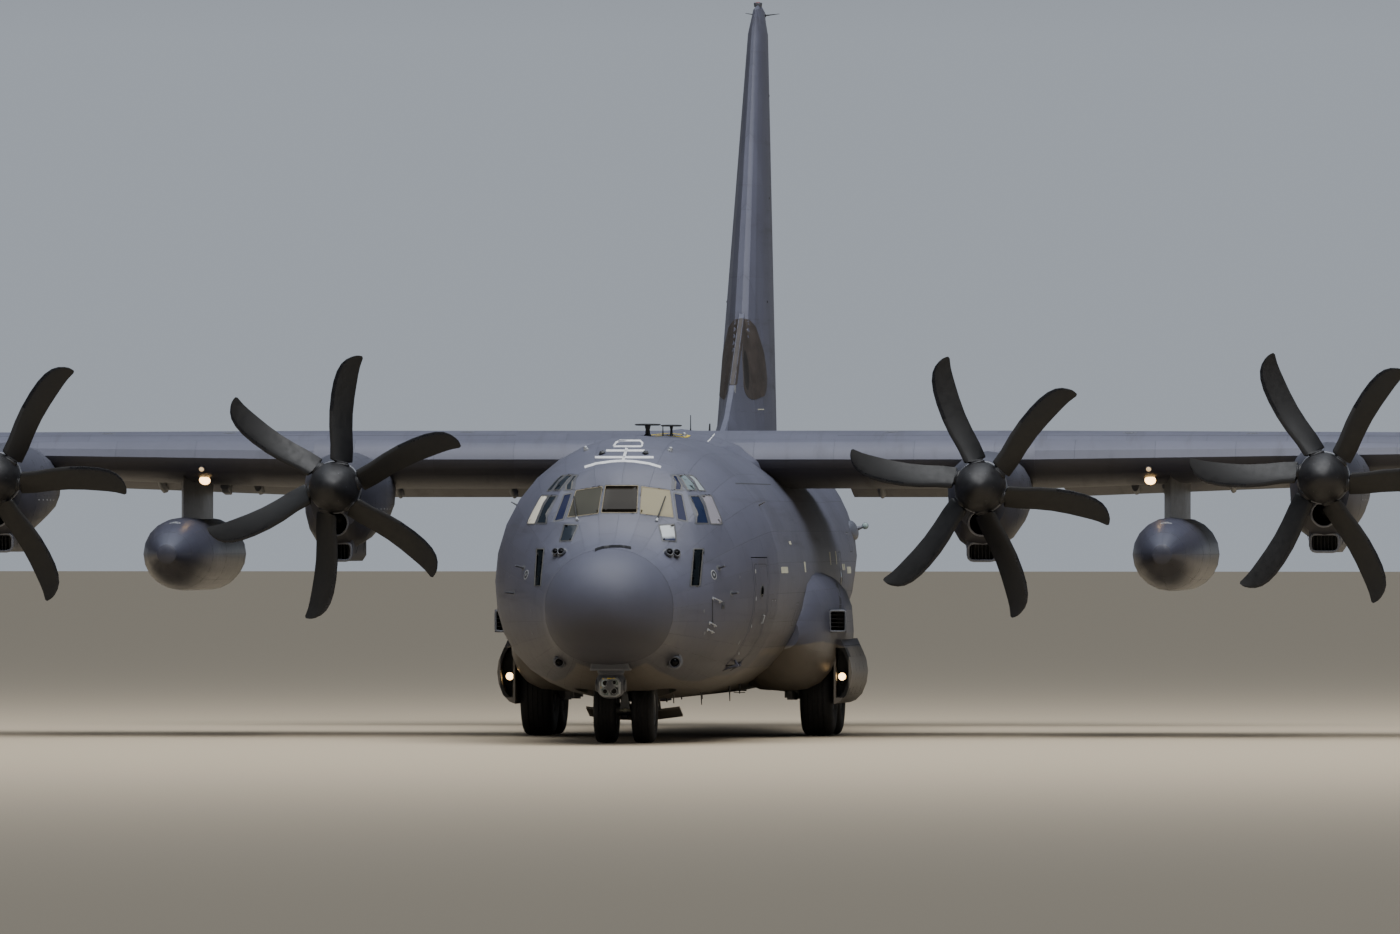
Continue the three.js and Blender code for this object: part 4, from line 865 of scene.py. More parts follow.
def blade_rings(turn, first=0, last=None, proud=0.0, share=1.0):
    """The blade's rings about the propeller's axis, turned by an angle. Share keeps only the part by its nose"""
    rings = []
    for radius, chord, sweep, thickness, pitch in BLADE[first:last]:
        kept = [p for p in blade_section(chord, thickness) if (p[0] / chord + 0.5) <= share]
        upper = [(a, d + proud) for a, d in kept]
        upper[0] = (upper[0][0] - proud, 0.0)
        lower = [(a, -d - proud) for a, d in reversed(kept)][1 if share == 1.0 else 0:-1]
        c, s = math.cos(math.radians(pitch)), math.sin(math.radians(pitch))
        z = math.sqrt(max(radius**2 - sweep**2, 0))
        ring = []
        for a, d in upper + lower:
            x, y = sweep + a * c - d * s, a * s + d * c
            ring.append((x * math.cos(turn) + z * math.sin(turn), y, z * math.cos(turn) - x * math.sin(turn)))
        rings.append(ring)
    return rings


def make_propeller(place):
    x, z, degrees = ENGINES[place]
    body = f"propeller_{place}"
    centre = at(x, PROPELLER_Y, z)
    blades, edges, boots, cuffs, ticks, spinner, bolts = builds(7)
    tick_pitch = math.radians(31)
    for turn in (math.radians(degrees + 60 * i) for i in range(6)):
        # The whole blade, then the bare sheath and the rubber boot on its leading edge
        for build, part in ((blades, ()), (edges, (7, -1, 1.6, 0.16)), (boots, (4, 8, 2.2, 0.3))):
            build.rings([[centre + Vector(p) * MM for p in ring] for ring in blade_rings(turn, *part)])
        out = Vector((math.sin(turn), 0, math.cos(turn)))
        aside = Vector((math.cos(turn), 0, -math.sin(turn)))
        cuffs.turned(sized(CUFF), centre + AHEAD * 30 * MM + aside * 55 * MM, out, 28)
        along = aside * math.cos(tick_pitch) + BACK * math.sin(tick_pitch)
        face = out.cross(along)
        face = face if face.y < 0 else -face
        tick = centre + out * 600 * MM - aside * 8 * MM
        ticks.block(tick + face * 40.5 * MM, (0.036, 0.009, 0.0018), (along, out, face))
    spinner.turned(sized(SPINNER), centre, BACK, 72)
    for i in range(24):
        t = 2 * math.pi * i / 24
        out = Vector((math.cos(t), 0, math.sin(t)))
        bolts.turned([(0.0042, 0), (0.0042, 0.0012), (0.003, 0.002), (0, 0.002)],
                     centre + out * 385.5 * MM + BACK * 0.065, out, 10)
        if i % 4 == 0:
            bolts.turned([(0.004, 0), (0.004, 0.001), (0.0028, 0.0018), (0, 0.0018)],
                         centre + AHEAD * 0.236 + out * 0.1195, out + AHEAD * 0.9, 10)
    blades.piece(body + "_blades", BLADE_BLACK, 50, body, replaces=(body,))
    edges.piece(body + "_sheaths", BLADE_EDGE, 50, body)
    boots.piece(body + "_boots", BOOT_RUBBER, 50, body)
    cuffs.piece(body + "_cuffs", HUB_DARK, 35, body)
    ticks.piece(body + "_ticks", MARK_WHITE, 35, body)
    spinner.piece(body + "_spinner", SPINNER_PAINT, 30, body)
    bolts.piece(body + "_bolts", BOLT_STEEL, 35, body)


for place in ENGINES:
    make_propeller(place)


# Wheels: grooved tyres on bolted rims
TREAD_GROOVES = (-0.44, -0.15, 0.15, 0.44)
# Profiles as shares: radii of the rim's or the tyre's, distances along the axis of half the tyre's width
BEAD = [(0.99, 0.6), (1.06, 0.78), (1.13, 0.86), (1.2, 0.88)]
SHOULDER = [(0.6, 0.965), (0.72, 0.995), (0.8, 0.99), (0.87, 0.955), (0.915, 0.9), (0.955, 0.82), (0.985, 0.68)]
DISH = [
    (0, 0.62), (0.3, 0.62), (0.34, 0.56), (0.36, 0.4), (0.42, 0.34), (0.74, 0.3), (0.84, 0.4), (0.93, 0.62),
    (0.97, 0.8), (1.1, 0.86), (1.12, 0.8), (1.0, 0.7), (0.98, 0.5), (0.98, -0.5), (1.0, -0.7), (1.1, -0.84),
    (1.07, -0.86), (0.95, -0.78), (0.9, -0.5), (0, -0.48),
]
NUT = [(1, -0.6), (1, 0.9), (0.6, 1.0), (0.6, 1.7), (0, 1.7)]
MAIN_X, MAIN_AXLES = 2170, {"front": 12830, "rear": 14350}
MAIN_TYRE = (711, 255, 290, 10)  # Its radius, half its width, its rim's radius, the number of bolts
NOSE_AXLE = (3820, 495)
NOSE_TYRE = (495, 168, 215, 8)


def make_wheel(tyre, hub, bolts, centre, out, radius, half, rim, count):
    """One wheel about an axis along X. Out is 1 or -1, the way that the open side of its rim faces"""
    tread = []
    for middle in TREAD_GROOVES:
        across = middle * half
        crown = radius - 0.05 * radius * abs(middle) ** 2.4
        tread += [(crown, across - half * 0.045), (crown - 11, across - half * 0.035)]
        tread += [(crown - 11, across + half * 0.035), (crown, across + half * 0.045)]
    wall = [(r * rim, a * half) for r, a in BEAD] + [(r * radius, a * half) for r, a in SHOULDER]
    axis = ASIDE * out
    tyre.turned(sized([(r, -a) for r, a in wall] + tread + wall[::-1]), centre, axis, 72)
    hub.turned(sized([(r * rim, a * half) for r, a in DISH]), centre, axis, 48)
    size = rim * 0.045 * MM
    for i in range(count):
        t = 2 * math.pi * i / count
        spot = Vector((out * 0.3 * half, math.cos(t) * rim * 0.6, math.sin(t) * rim * 0.6)) * MM
        bolts.turned([(size * r, size * a) for r, a in NUT], centre + spot, axis, 6)
        t += math.pi / count
        hole = Vector((out * 0.335 * half, math.cos(t) * rim * 0.66, math.sin(t) * rim * 0.66)) * MM
        lip = [(size * 1.5, -0.002), (size * 1.5, 0.0), (size * 1.15, 0.001), (size * 1.1, -0.0015), (0, -0.0015)]
        bolts.turned(lip, centre + hole, axis, 16)


def make_wheels():
    for side, word in SIDES:
        for name, y in MAIN_AXLES.items():
            node = f"main_wheel_{name}_{word}"
            tyre, rim, bolts = builds(3)
            make_wheel(tyre, rim, bolts, at(side * MAIN_X, y, MAIN_TYRE[0]), side, *MAIN_TYRE)
            tyre.piece(node + "_tyre", TYRE_RUBBER, 30, node, replaces=(node,))
            rim.piece(node + "_rim", RIM_PAINT, 30, node)
            bolts.piece(node + "_bolts", BOLT_STEEL, 35, node)
    tyre, rim, bolts = builds(3)
    for side, _ in SIDES:
        make_wheel(tyre, rim, bolts, at(side * 285, *NOSE_AXLE), side, *NOSE_TYRE)
    rim.tube([at(-285, *NOSE_AXLE), at(285, *NOSE_AXLE)], 0.021, 20)
    tyre.piece("nose_tyres", TYRE_RUBBER, 30, "nose_wheels", replaces=("nose_wheels",))
    rim.piece("nose_rims", RIM_PAINT, 30, "nose_wheels")
    bolts.piece("nose_wheel_bolts", BOLT_STEEL, 35, "nose_wheels")


make_wheels()


# Cockpit windows: panes in thin sealed frames, with wipers. Outlines are as seen from ahead, (x, z), or from the
# side, (y, z), on the left; the right side's are mirrored
MIDDLE_PANE = [(-272, 3435), (272, 3435), (250, 3852), (-250, 3852)]
FRONT_PANES = {
    "front": [(308, 3423), (800, 3365), (706, 3779), (285, 3840)],
    "post": [(852, 3340), (1004, 3304), (884, 3712), (760, 3738)],
    "quarter": [(600, 3262), (680, 3018), (876, 3010), (824, 3269)],
    "chin": [(1115, 2345), (1240, 2345), (1252, 2907), (1115, 2907)],
}
SIDE_PANES = {
    "lower_fore": [(3040, 3280), (3290, 3275), (3610, 3697), (3420, 3697)],
    "lower_aft": [(3330, 3270), (3620, 3270), (3910, 3703), (3650, 3703)],
    "upper_fore": [(3385, 3780), (3445, 3775), (3715, 4005), (3630, 4000)],
    "upper_middle": [(3490, 3775), (3680, 3773), (3925, 4010), (3755, 4010)],
    "upper_aft": [(3725, 3770), (3900, 3766), (4050, 4000), (3965, 4008)],
}


def inset(outline, by):
    """An outline with every side moved in by a distance, or out if it is negative"""
    points = [Vector(p) for p in outline]
    area = sum(a.x * b.y - b.x * a.y for a, b in zip(points, points[1:] + points[:1]))
    made = []
    for before, corner, after in zip(points[-1:] + points[:-1], points, points[1:] + points[:1]):
        first, second = (corner - before).normalized(), (after - corner).normalized()
        n1, n2 = Vector((-first.y, first.x)), Vector((-second.y, second.x))
        turn = n1 + n2
        made.append(corner + turn * (by * math.copysign(1, area) / (1 + n1.dot(n2))))
    return [tuple(p) for p in made]


GLASS_DEPTH = 0.009  # How far the CAD's glass lies below the skin, in metres


def make_glazing():
    skin = Skin("cockpit_glazing", "nose_shell", lifts={"cockpit_glazing": GLASS_DEPTH})
    panes, (frames, tan, grey) = {}, builds(3)

    def window(key, outline, project, step):
        panes[key] = Build().plate(rounded(inset(outline, 3), 14), project, 0.0004, 0.006, step)
        edge, gap = rounded(inset(outline, -13), 26), rounded(inset(outline, 7), 12)
        frames.plate(edge, project, 0.0011, 0.004, step, hole=gap)
        seals = tan if key.startswith(("middle", "front")) else grey
        edge, gap = rounded(inset(outline, 4), 14), rounded(inset(outline, 11), 10)
        seals.plate(edge, project, 0.0022, 0.001, step, hole=gap)

    window("middle", MIDDLE_PANE, skin.front(1000), 60)
    for side, word in SIDES:
        for key, outline in FRONT_PANES.items():
            window(f"{key}_{word}", [(x * side, z) for x, z in outline], skin.front(1000), 60)
        for key, outline in SIDE_PANES.items():
            window(f"{key}_{word}", outline, skin.side(side), 80)
    for key, build in panes.items():
        made = build.piece(f"pane_{key}", PANE_FINISHES.get(key, PANE_FINISHES["other"]), 20)
        if key == "middle":
            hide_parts("cockpit_glazing")
    frames.piece("window_frames", FRAME_PAINT, 30)
    tan.piece("front_window_seals", SEAL_TAN, 30)
    grey.piece("side_window_seals", SEAL_GREY, 30)


def make_wipers():
    """Two wipers, each from its pivot to its tip as seen in the photograph"""
    skin = Skin("cockpit_glazing", "nose_shell", lifts={"cockpit_glazing": GLASS_DEPTH})
    seen = skin.seen()
    arms, blades, pivots = builds(3)
    for foot, tip in (((656.5, 521), (664.5, 499)), ((577.5, 520), (574.5, 499))):
        (a, na), (b, nb) = seen(*foot), seen(*tip)
        line = b - a
        along = line.normalized()
        bends = zip((0, 0.2, 0.6, 0.9), (0.006, 0.016, 0.017, 0.011))
        arms.tube([a + line * t + (na * (1 - t) + nb * t) * h for t, h in bends], [0.0068, 0.0062, 0.005, 0.0042])
        hits = [skin.shot(a + line * t - FORWARD * 0.3, FORWARD) for t in (0.32, 0.5, 0.7, 0.86, 1.0, 1.1)]
        blades.tube([hit[0] + hit[1] * 0.0065 for hit in hits if hit], 0.0048, 6)
        pivots.turned([(0.012, -0.004), (0.012, 0.004), (0.009, 0.008), (0.009, 0.014), (0, 0.016)], a, na, 16)
        pivots.block(a + along * 0.012 + na * 0.012, (0.02, 0.012, 0.008), (along, na.cross(along), na))
    arms.piece("wiper_arms", WIPER_BLACK)
    blades.piece("wiper_blades", BOOT_RUBBER)
    pivots.piece("wiper_pivots", PIVOT_GREY)


def make_guide_marks():
    """The white lines on the roof behind the cockpit, which guide a tanker's boom, as seen in the photograph"""
    seen = Skin("nose_shell", "forward_shell", "centre_shell", "wing_centre").seen()
    marks = Build()
    lines = (
        (2.3, [(584.5, 467.2), (596, 463.6), (612, 461.4), (623, 460.8), (634, 461.4), (649, 463.6),
               (661, 467.2)]),
        (2.2, [(595, 457.3), (653.5, 457.3)]),
        (2.0, [(606, 450.6), (644.5, 450.6)]),
        (2.6, [(627.2, 446.6), (623.2, 460.0)]),
        (1.7, [(613.5, 446.4), (641.5, 446.4)]),
        (1.7, [(613.5, 446.4), (616, 442.6), (620, 440.6), (640, 440.6), (642.5, 443), (641.8, 446.4)]),
    )
    for width, path in lines:
        marks.strip(path, width, seen, 0.0012, 0.003, step=2.0)
    marks.piece("guide_marks", MARK_WHITE, 40)


make_glazing()
make_wipers()
make_guide_marks()


# Shapes shared by the fittings
def circle(cx, cy, rx, ry=None, count=20):
    """A round or oval outline"""
    turns = [2 * math.pi * i / count for i in range(count)]
    return [(cx + rx * math.cos(t), cy + (ry or rx) * math.sin(t)) for t in turns]


def oblong(x0, x1, y0, y1, corner=0.0):
    """A rectangle's outline, with round corners if they are given"""
    outline = [(x0, y0), (x1, y0), (x1, y1), (x0, y1)]
    return rounded(outline, corner) if corner else outline


def fin_on(build, foot, normal, height, root, tip, thick, rake=0.35, ahead=AHEAD):
    """A swept blade, such as a blade antenna, that stands on a skin. Sizes are in metres"""
    aside = normal.cross(ahead).normalized()
    rings = []
    for t in (-0.04, 0.0, 0.5, 0.92, 1.0):
        chord = root + (tip - root) * max(t, 0)
        chord *= 0.8 if t == 1.0 else 1.0
        half = thick / 2 * (1 - 0.45 * max(t, 0))
        centre = foot + normal * height * t - ahead * rake * height * max(t, 0)
        section = ((0.5, 0), (0.25, 1), (-0.15, 0.9), (-0.5, 0), (-0.15, -0.9), (0.25, -1))
        rings.append([centre + ahead * chord * a + aside * half * b for a, b in section])
    build.rings(rings)


def dome_on(build, place, normal, r, height):
    """A low dome on a skin, such as an antenna's. Sizes are in metres"""
    rim = [(r * 1.15, -0.006), (r * 1.15, 0.002), (r, 0.004)]
    crown = [(r * share, height * rise) for share, rise in ((0.97, 0.45), (0.8, 0.75), (0.45, 0.95), (0, 1))]
    build.turned(rim + crown, place, normal, 20)


def girdle(build, skin, axis_x, axis_z, y, width, count, reach, gap=None, rise=0.0006, sink=0.003):
    """A band round a body that lies along Y. A gap, in degrees from straight up, leaves its top bare"""
    start = math.radians(90 + gap) if gap else 0.0
    total = 2 * math.pi - 2 * math.radians(gap or 0)
    rings = []
    for i in range(count if gap is None else count + 1):
        t = start + total * i / count
        out = Vector((math.cos(t), 0, math.sin(t)))
        edges = (y - width / 2, y + width / 2)
        hits = [skin.shot(at(axis_x, edge, axis_z) + out * reach * MM, -out) for edge in edges]
        if None in hits:
            raise ValueError(f"a band misses its body at y {y}")
        (a, na), (b, nb) = hits
        rings.append([a + na * rise, b + nb * rise, b - nb * sink, a - na * sink])
    build.rings(rings, closed=gap is None)


def lamp_on(bezels, lenses, place, facing, radius, depth=0.03):
    """A round lamp: a bezel with a domed lens"""
    r = radius
    rim = [(r * 1.02, -depth), (r * 1.14, -depth * 0.4), (r * 1.16, 0.002), (r * 1.1, 0.006), (r * 0.98, 0.004)]
    bezels.turned([*rim, (r * 0.96, -0.002), (0, -0.002)], place, facing, 28)
    lens = [(r * 0.97, -0.003), (r * 0.97, 0.001), (r * 0.8, 0.006), (r * 0.45, 0.0095), (0, 0.011)]
    lenses.turned(lens, place, facing, 28)


# Nose: radome seam, brow, sensors and probes
RADOME_END, RADOME_AXIS = 1140, 1960


def make_nose_fittings():
    shell = Skin("nose_shell", "radome", "forward_shell")
    seen = shell.seen()
    seam, brow, bodies, lenses, rims = builds(5)
    rings = []
    for i in range(96):
        t = 2 * math.pi * i / 96
        hits = []
        for y in (RADOME_END - 13, RADOME_END + 13):
            origin = at(3000 * math.cos(t), y, RADOME_AXIS + 3000 * math.sin(t))
            hits.append(shell.shot(origin, (at(0, y, RADOME_AXIS) - origin).normalized()))
        (a, na), (b, nb) = hits
        rings.append([a + na * 0.0006, b + nb * 0.0006, b - nb * 0.003, a - na * 0.003])
    seam.rings(rings, closed=True)
    seam.piece("radome_seam", SEAM_DARK, 50)
    path = [(595, 551.4), (598, 550.0), (604, 548.5), (612, 547.7), (621, 547.6), (627, 548.4), (631, 549.2)]
    section = ((-0.011, -0.004), (0.014, -0.004), (0.012, 0.014), (0.006, 0.021), (-0.004, 0.021), (-0.009, 0.014))
    brow.rings([[seen(px, py)[0] + BACK * a + ABOVE * b for a, b in section] for px, py in resampled(path, 2)])
    brow.piece("radome_brow", BROW_GREY, 50)
    # Sensors, as pixel, radius, reach and how far each turns from the skin's normal towards the camera
    for px, py, radius, reach, tilt in (
        (668.2, 554.2, 66, 0.05, 0.5), (675.3, 554.4, 62, 0.05, 0.5), (562.8, 553.6, 62, 0.05, 0.5),
        (557.2, 553.2, 56, 0.05, 0.5), (674.0, 661.2, 98, 0.055, 0.8), (560.2, 661.2, 82, 0.045, 0.75),
    ):
        place, normal = seen(px, py)
        axis = (normal * (1 - tilt) - FORWARD * tilt).normalized()
        foot, r = place - axis * 0.012, radius * MM
        barrel = [(r * 1.2, 0), (r * 1.2, 0.012), (r * 1.05, 0.016), (r * 1.0, reach), (r * 0.86, reach + r * 0.2)]
        barrel += [(r * 0.72, reach + r * 0.16), (r * 0.7, reach - r * 0.3), (0, reach - r * 0.3)]
        bodies.turned(barrel, foot, axis, 28)
        dome = ((0.66, -0.32), (0.6, -0.02), (0.42, 0.16), (0.2, 0.25), (0, 0.28))
        lenses.turned([(r * a, reach + r * b) for a, b in dome], foot, axis, 24)
        rim = ((1.36, 0.009), (1.36, 0.0128), (1.28, 0.0142), (1.1, 0.0145), (1.1, 0.01))
        rims.turned([(r * a, b) for a, b in rim], foot, axis, 28)
    bodies.piece("nose_sensors", SENSOR_GREY, 30)
    lenses.piece("nose_sensor_lenses", LENS_BLACK, 30)
    rims.piece("nose_sensor_rims", RIM_PAINT, 30)


def make_probes():
    """Bent air-data probes on their plates, and static ports, on both sides of the nose"""
    shell = Skin("nose_shell", "forward_shell")
    probes, plates = builds(2)
    for side, _ in SIDES:
        project = shell.side(side)
        for y, z in ((3050, 2620), (3330, 2240)):
            place, normal = project(y, z)
            out = place + normal * 0.055
            stem = [place - normal * 0.004, place + normal * 0.03]
            head = [out + AHEAD * reach for reach in (0.012, 0.035, 0.12, 0.128)]
            probes.tube(stem + head, [0.011, 0.0085, 0.0078, 0.0072, 0.006, 0.0045], 12)
            plates.plate(circle(y, z, 62, 44), project, 0.0022, 0.003)
        for y, z, r in ((2500, 1980, 26), (2620, 1650, 26), (3650, 2480, 20), (4020, 1500, 34)):
            plates.plate(circle(y, z, r, count=16), project, 0.0016, 0.003)
    probes.piece("air_data_probes", SENSOR_GREY, 40)
    plates.piece("probe_plates", SEAM_GREY, 30)


# Sensor turret: a carrier plate with a lighter lip, a drum, and a ball with a faceted window block
TURRET = (0, 1450, 885)
CARRIER_MIDDLE = 1395
CARRIER_KEEL = (
    # y, half the width at the top, height of the top, height of the bottom
    (1310, 140, 1240, 1118), (1620, 140, 1240, 1080), (1900, 136, 1180, 975), (2190, 120, 1100, 905),
)
TURRET_COLLAR = [(150, 232), (196, 230), (200, 222), (200, 180), (186, 172), (186, 150), (170, 140), (0, 140)]
TURRET_DRUM = [
    (120, 168), (165, 166), (192, 150), (205, 120), (212, 80), (215, 40), (215, 0), (212, -45), (200, -90),
    (180, -128), (150, -160), (108, -184), (60, -195), (0, -197),
]
WINDOW_BLOCK = [
    (-150, -120), (-96, -158), (96, -158), (150, -120), (158, 60), (110, 128), (-110, 128), (-158, 60),
]


def make_turret():
    centre = at(*TURRET)
    plate, lip, ball, block, clear, mirror, dark, marks = builds(8)
    outline = rounded([(-282, 1150), (282, 1150), (282, 1640), (-282, 1640)], 70, 5)

    def grown(x, y, z, across, along):
        return at(x * across, CARRIER_MIDDLE + (y - CARRIER_MIDDLE) * along, z)

    plate.prism([at(x, y, 1130) for x, y in outline], ABOVE * 160 * MM)
    plate.rings([[at(x, y, z) for x, z in ((-w, top), (w, top), (w * 0.8, low), (-w * 0.8, low))]
                 for y, w, top, low in CARRIER_KEEL])
    lip.prism([grown(x, y, 1104, 1.035, 1.04) for x, y in outline], ABOVE * 26 * MM)
    screw = [(0.0032, 0), (0.0032, 0.0012), (0.002, 0.002), (0, 0.002)]
    for x, y in outline[::3]:
        plate.turned(screw, grown(x, y, 1104, 0.93, 0.93), BELOW, 8)
    plate.turned(sized(TURRET_COLLAR), centre, ABOVE, 48)
    ball.turned(sized(TURRET_DRUM), centre, ABOVE, 56)
    for side, _ in SIDES:
        cap = [(0.05, -0.012), (0.05, 0.004), (0.045, 0.008), (0.02, 0.009), (0, 0.009)]
        ball.turned(cap, centre + ASIDE * side * 0.1035, ASIDE * side, 28)
    # The eight-sided window block stands out of the front of the ball
    tilt = Matrix.Rotation(math.radians(4), 3, "X")

    def on_block(x, z, out):
        return centre + tilt @ Vector((x * MM, -out * MM, z * MM))

    steps = ((1.0, 60), (1.02, 150), (1.0, 186), (0.92, 203), (0.9, 203), (0.86, 196))
    block.rings([[on_block(x * scale, z * scale, out) for x, z in WINDOW_BLOCK] for scale, out in steps])
    for glass, pane in (
        (clear, [(-118, -8), (-18, -8), (-18, 100), (-100, 100), (-128, 56)]),
        (mirror, [(2, 12), (126, 12), (128, 56), (100, 100), (2, 100)]),
        (mirror, [(-120, -104), (-84, -132), (-22, -132), (-22, -30), (-126, -30)]),
        (dark, [(6, -132), (84, -132), (120, -104), (124, -12), (6, -12)]),
    ):
        shape = rounded(pane, 14)
        glass.prism([on_block(x, z, 192) for x, z in shape], tilt @ AHEAD * 11 * MM)
        block.tube([on_block(x, z, 204) for x, z in shape], 0.0019, 6, closed=True)
    facing = tilt @ AHEAD
    for x, z, radius in ((-70, -78, 34), (62, -72, 42), (-66, 46, 38), (66, 56, 30)):
        r, spot = radius * MM, on_block(x, z, 203)
        pane = [(r, -0.002), (r, 0.002), (r * 0.86, 0.003), (r * 0.82, 0.0012), (0, 0.0016)]
        dark.turned(pane, spot, facing, 28)
        rim = ((1.0, 0), (1.12, 0.0004), (1.12, 0.0032), (0.98, 0.0036), (0.98, 0))
        block.turned([(r * a, b) for a, b in rim], spot, facing, 28)
    for x, z, w, h in (
        (-6, 116, 70, 13), (62, 118, 34, 10), (-96, 112, 22, 9), (-132, -16, 10, 24), (8, -8, 12, 10),
    ):
        marks.block(on_block(x, z, 201), (w * MM, 0.006, h * MM), (tilt @ ASIDE, facing, tilt @ ABOVE))
    plate.piece("turret_carrier", SENSOR_GREY, 30, replaces=("sensor_turret",))
    lip.piece("turret_lip", SEAM_GREY, 30)
    ball.piece("turret_ball", SENSOR_GREY, 30)
    block.piece("turret_block", TURRET_FACE, 30)
    clear.piece("turret_window_clear", TURRET_CLEAR, 20)
    mirror.piece("turret_window_mirror", TURRET_MIRROR, 20)
    dark.piece("turret_window_dark", LENS_BLACK, 30)
    marks.piece("turret_marks", MARK_YELLOW, 30)


make_nose_fittings()
make_probes()
make_turret()


def centred(x, y, wide, tall, corner=0.0):
    """A rectangle's outline round its middle"""
    return oblong(x - wide / 2, x + wide / 2, y - tall / 2, y + tall / 2, corner)


# Roof: blade and table antennas, domes, the hatch's yellow edge and the fairing's white edge
TABLE_COLUMN = ((1.0, -12, 0), (1.0, 6, 0), (0.62, 30, 0), (0.55, 0, 0.55), (0.8, -14, 1))
TABLE_EDGE = ((0.86, -18, 1), (1.0, -8, 1), (1.0, 0, 1), (0.9, 8, 1), (0.5, 12, 1))


def make_roof_fittings():
    skin = Skin("nose_shell", "forward_shell", "centre_shell", "wing_centre")
    seen, over = skin.seen(), skin.above()
    dark, domes, feet, yellow, white = builds(5)
    for px, table, height, base in ((647.7, 200, 172, 60), (671.4, 165, 160, 34)):
        foot = seen(px, 435.8)[0]
        # Each ring of a form as (share of its width, height, share of the whole height to add)
        for form, wide, long, count in ((TABLE_COLUMN, base, 1.6, 14), (TABLE_EDGE, table, 1.1, 28)):
            dark.rings([[foot + Vector((x * wide * w * MM, y * wide * w * long * MM, (z + height * share) * MM))
                         for x, y in circle(0, 0, 1, 1, count)] for w, z, share in form])
    for px, py, top, r in ((662.9, 436, 150, 0.0035), (690.6, 430.5, 240, 0.0028)):
        foot = seen(px, py)[0]
        dark.tube([foot - ABOVE * 0.004, foot + ABOVE * 0.02, foot + ABOVE * top * MM], [r * 2.2, r * 1.4, r])
    fin_on(dark, over(325, 14500)[0], ABOVE, 0.075, 0.1, 0.06, 0.016)
    for px, py in ((602.2, 453.3), (645.6, 453.2)):
        fin_on(dark, *seen(px, py), 0.02, 0.09, 0.05, 0.05, rake=0.6)
    for px, py in ((586.4, 450.3), (670, 451), (684, 436.6)):
        foot, normal = seen(px, py)
        dome_on(feet, foot, normal, 0.021, 0.01)
        dome_on(domes, foot + normal * 0.008, normal, 0.016, 0.026)
    yellow.plate(centred(0, 10780, 670, 600, 90), over, 0.004, 0.004, 160, hole=centred(0, 10780, 570, 500, 60))
    shell = Skin("centre_shell", "wing_centre").above()
    for y in (7350, 16200):
        feet.plate(centred(0, y, 760, 660, 80), shell, 0.0016, 0.003, 160, hole=centred(0, y, 700, 600, 70))
    white.strip([(707.6, 441.6), (709.6, 440.0), (714.6, 433.9)], 0.9, seen, 0.0016, 0.003, step=1.5)
    dark.piece("roof_antennas", SENSOR_BLACK, 40)
    domes.piece("roof_domes", PIVOT_GREY, 40)
    feet.piece("roof_plates", SEAM_GREY)
    yellow.piece("hatch_edge", MARK_YELLOW)
    white.piece("fairing_edge_mark", MARK_WHITE)


# Belly: blade and rod antennas, drains and the anti-collision lamp
BELLY_BLADES = (
    # x, y, height, length at the root
    (640, 4700, 130, 70), (930, 6150, 190, 60), (1120, 8900, 230, 60), (0, 6900, 210, 150), (-420, 5600, 150, 80),
    (0, 9300, 160, 170), (-700, 8100, 170, 70),
)


def make_belly_fittings():
    below = Skin("nose_shell", "forward_shell", "centre_shell").above(-1)
    rods, lamps, bezels = builds(3)
    down = Vector((0, 0.1, -1)).normalized()
    for x, y, height, root in BELLY_BLADES:
        fin_on(rods, below(x, y)[0], down, height * MM, root * MM, root * 0.5 * MM, 0.012, rake=0.25)
    foot = below(1180, 10000)[0]
    rods.tube([foot + ABOVE * 0.004, foot - ABOVE * 0.075], [0.006, 0.004])
    for aside in (ASIDE, BACK):
        rods.tube([foot - ABOVE * 0.066 - aside * 0.045, foot - ABOVE * 0.066 + aside * 0.045], 0.0032, 6)
    for x, y in ((300, 7300), (-300, 7900), (520, 10900), (-520, 11700), (0, 13200)):
        foot, normal = below(x, y)
        rods.tube([foot - normal * 0.004, foot + normal * 0.03 + BACK * 0.012], [0.007, 0.005], 10)
    foot, normal = below(0, 10200)
    lamp_on(bezels, lamps, foot + normal * 0.02, normal, 0.05)
    rods.piece("belly_antennas", SENSOR_BLACK, 40)
    bezels.piece("belly_lamp_bezel", SENSOR_GREY, 30)
    lamps.piece("belly_lamp", RED_LENS, 40)


# Sides: windows, light strips, steps, handles, vents, the panels round the doors and a painted shadow by the left
# scoop
LIGHT_STRIPS = (
    # y, z, length, height
    (6626, 2581, 1040, 94), (8317, 2988, 320, 50), (10400, 2620, 230, 160), (15385, 2745, 160, 205),
    (16544, 2755, 160, 205), (17850, 2606, 480, 100), (18853, 2556, 720, 105),
)
SERVICE_PANELS = (
    (5400, 2000, 420, 300), (9200, 1900, 500, 360), (18500, 1900, 520, 380), (19700, 3000, 460, 320),
    (22100, 3250, 420, 280), (25200, 3850, 420, 240),
)
HAND_GRIPS = (((2760, 2165), (2960, 2120)), ((2700, 1800), (2870, 1760)), ((2690, 1700), (2850, 1665)))


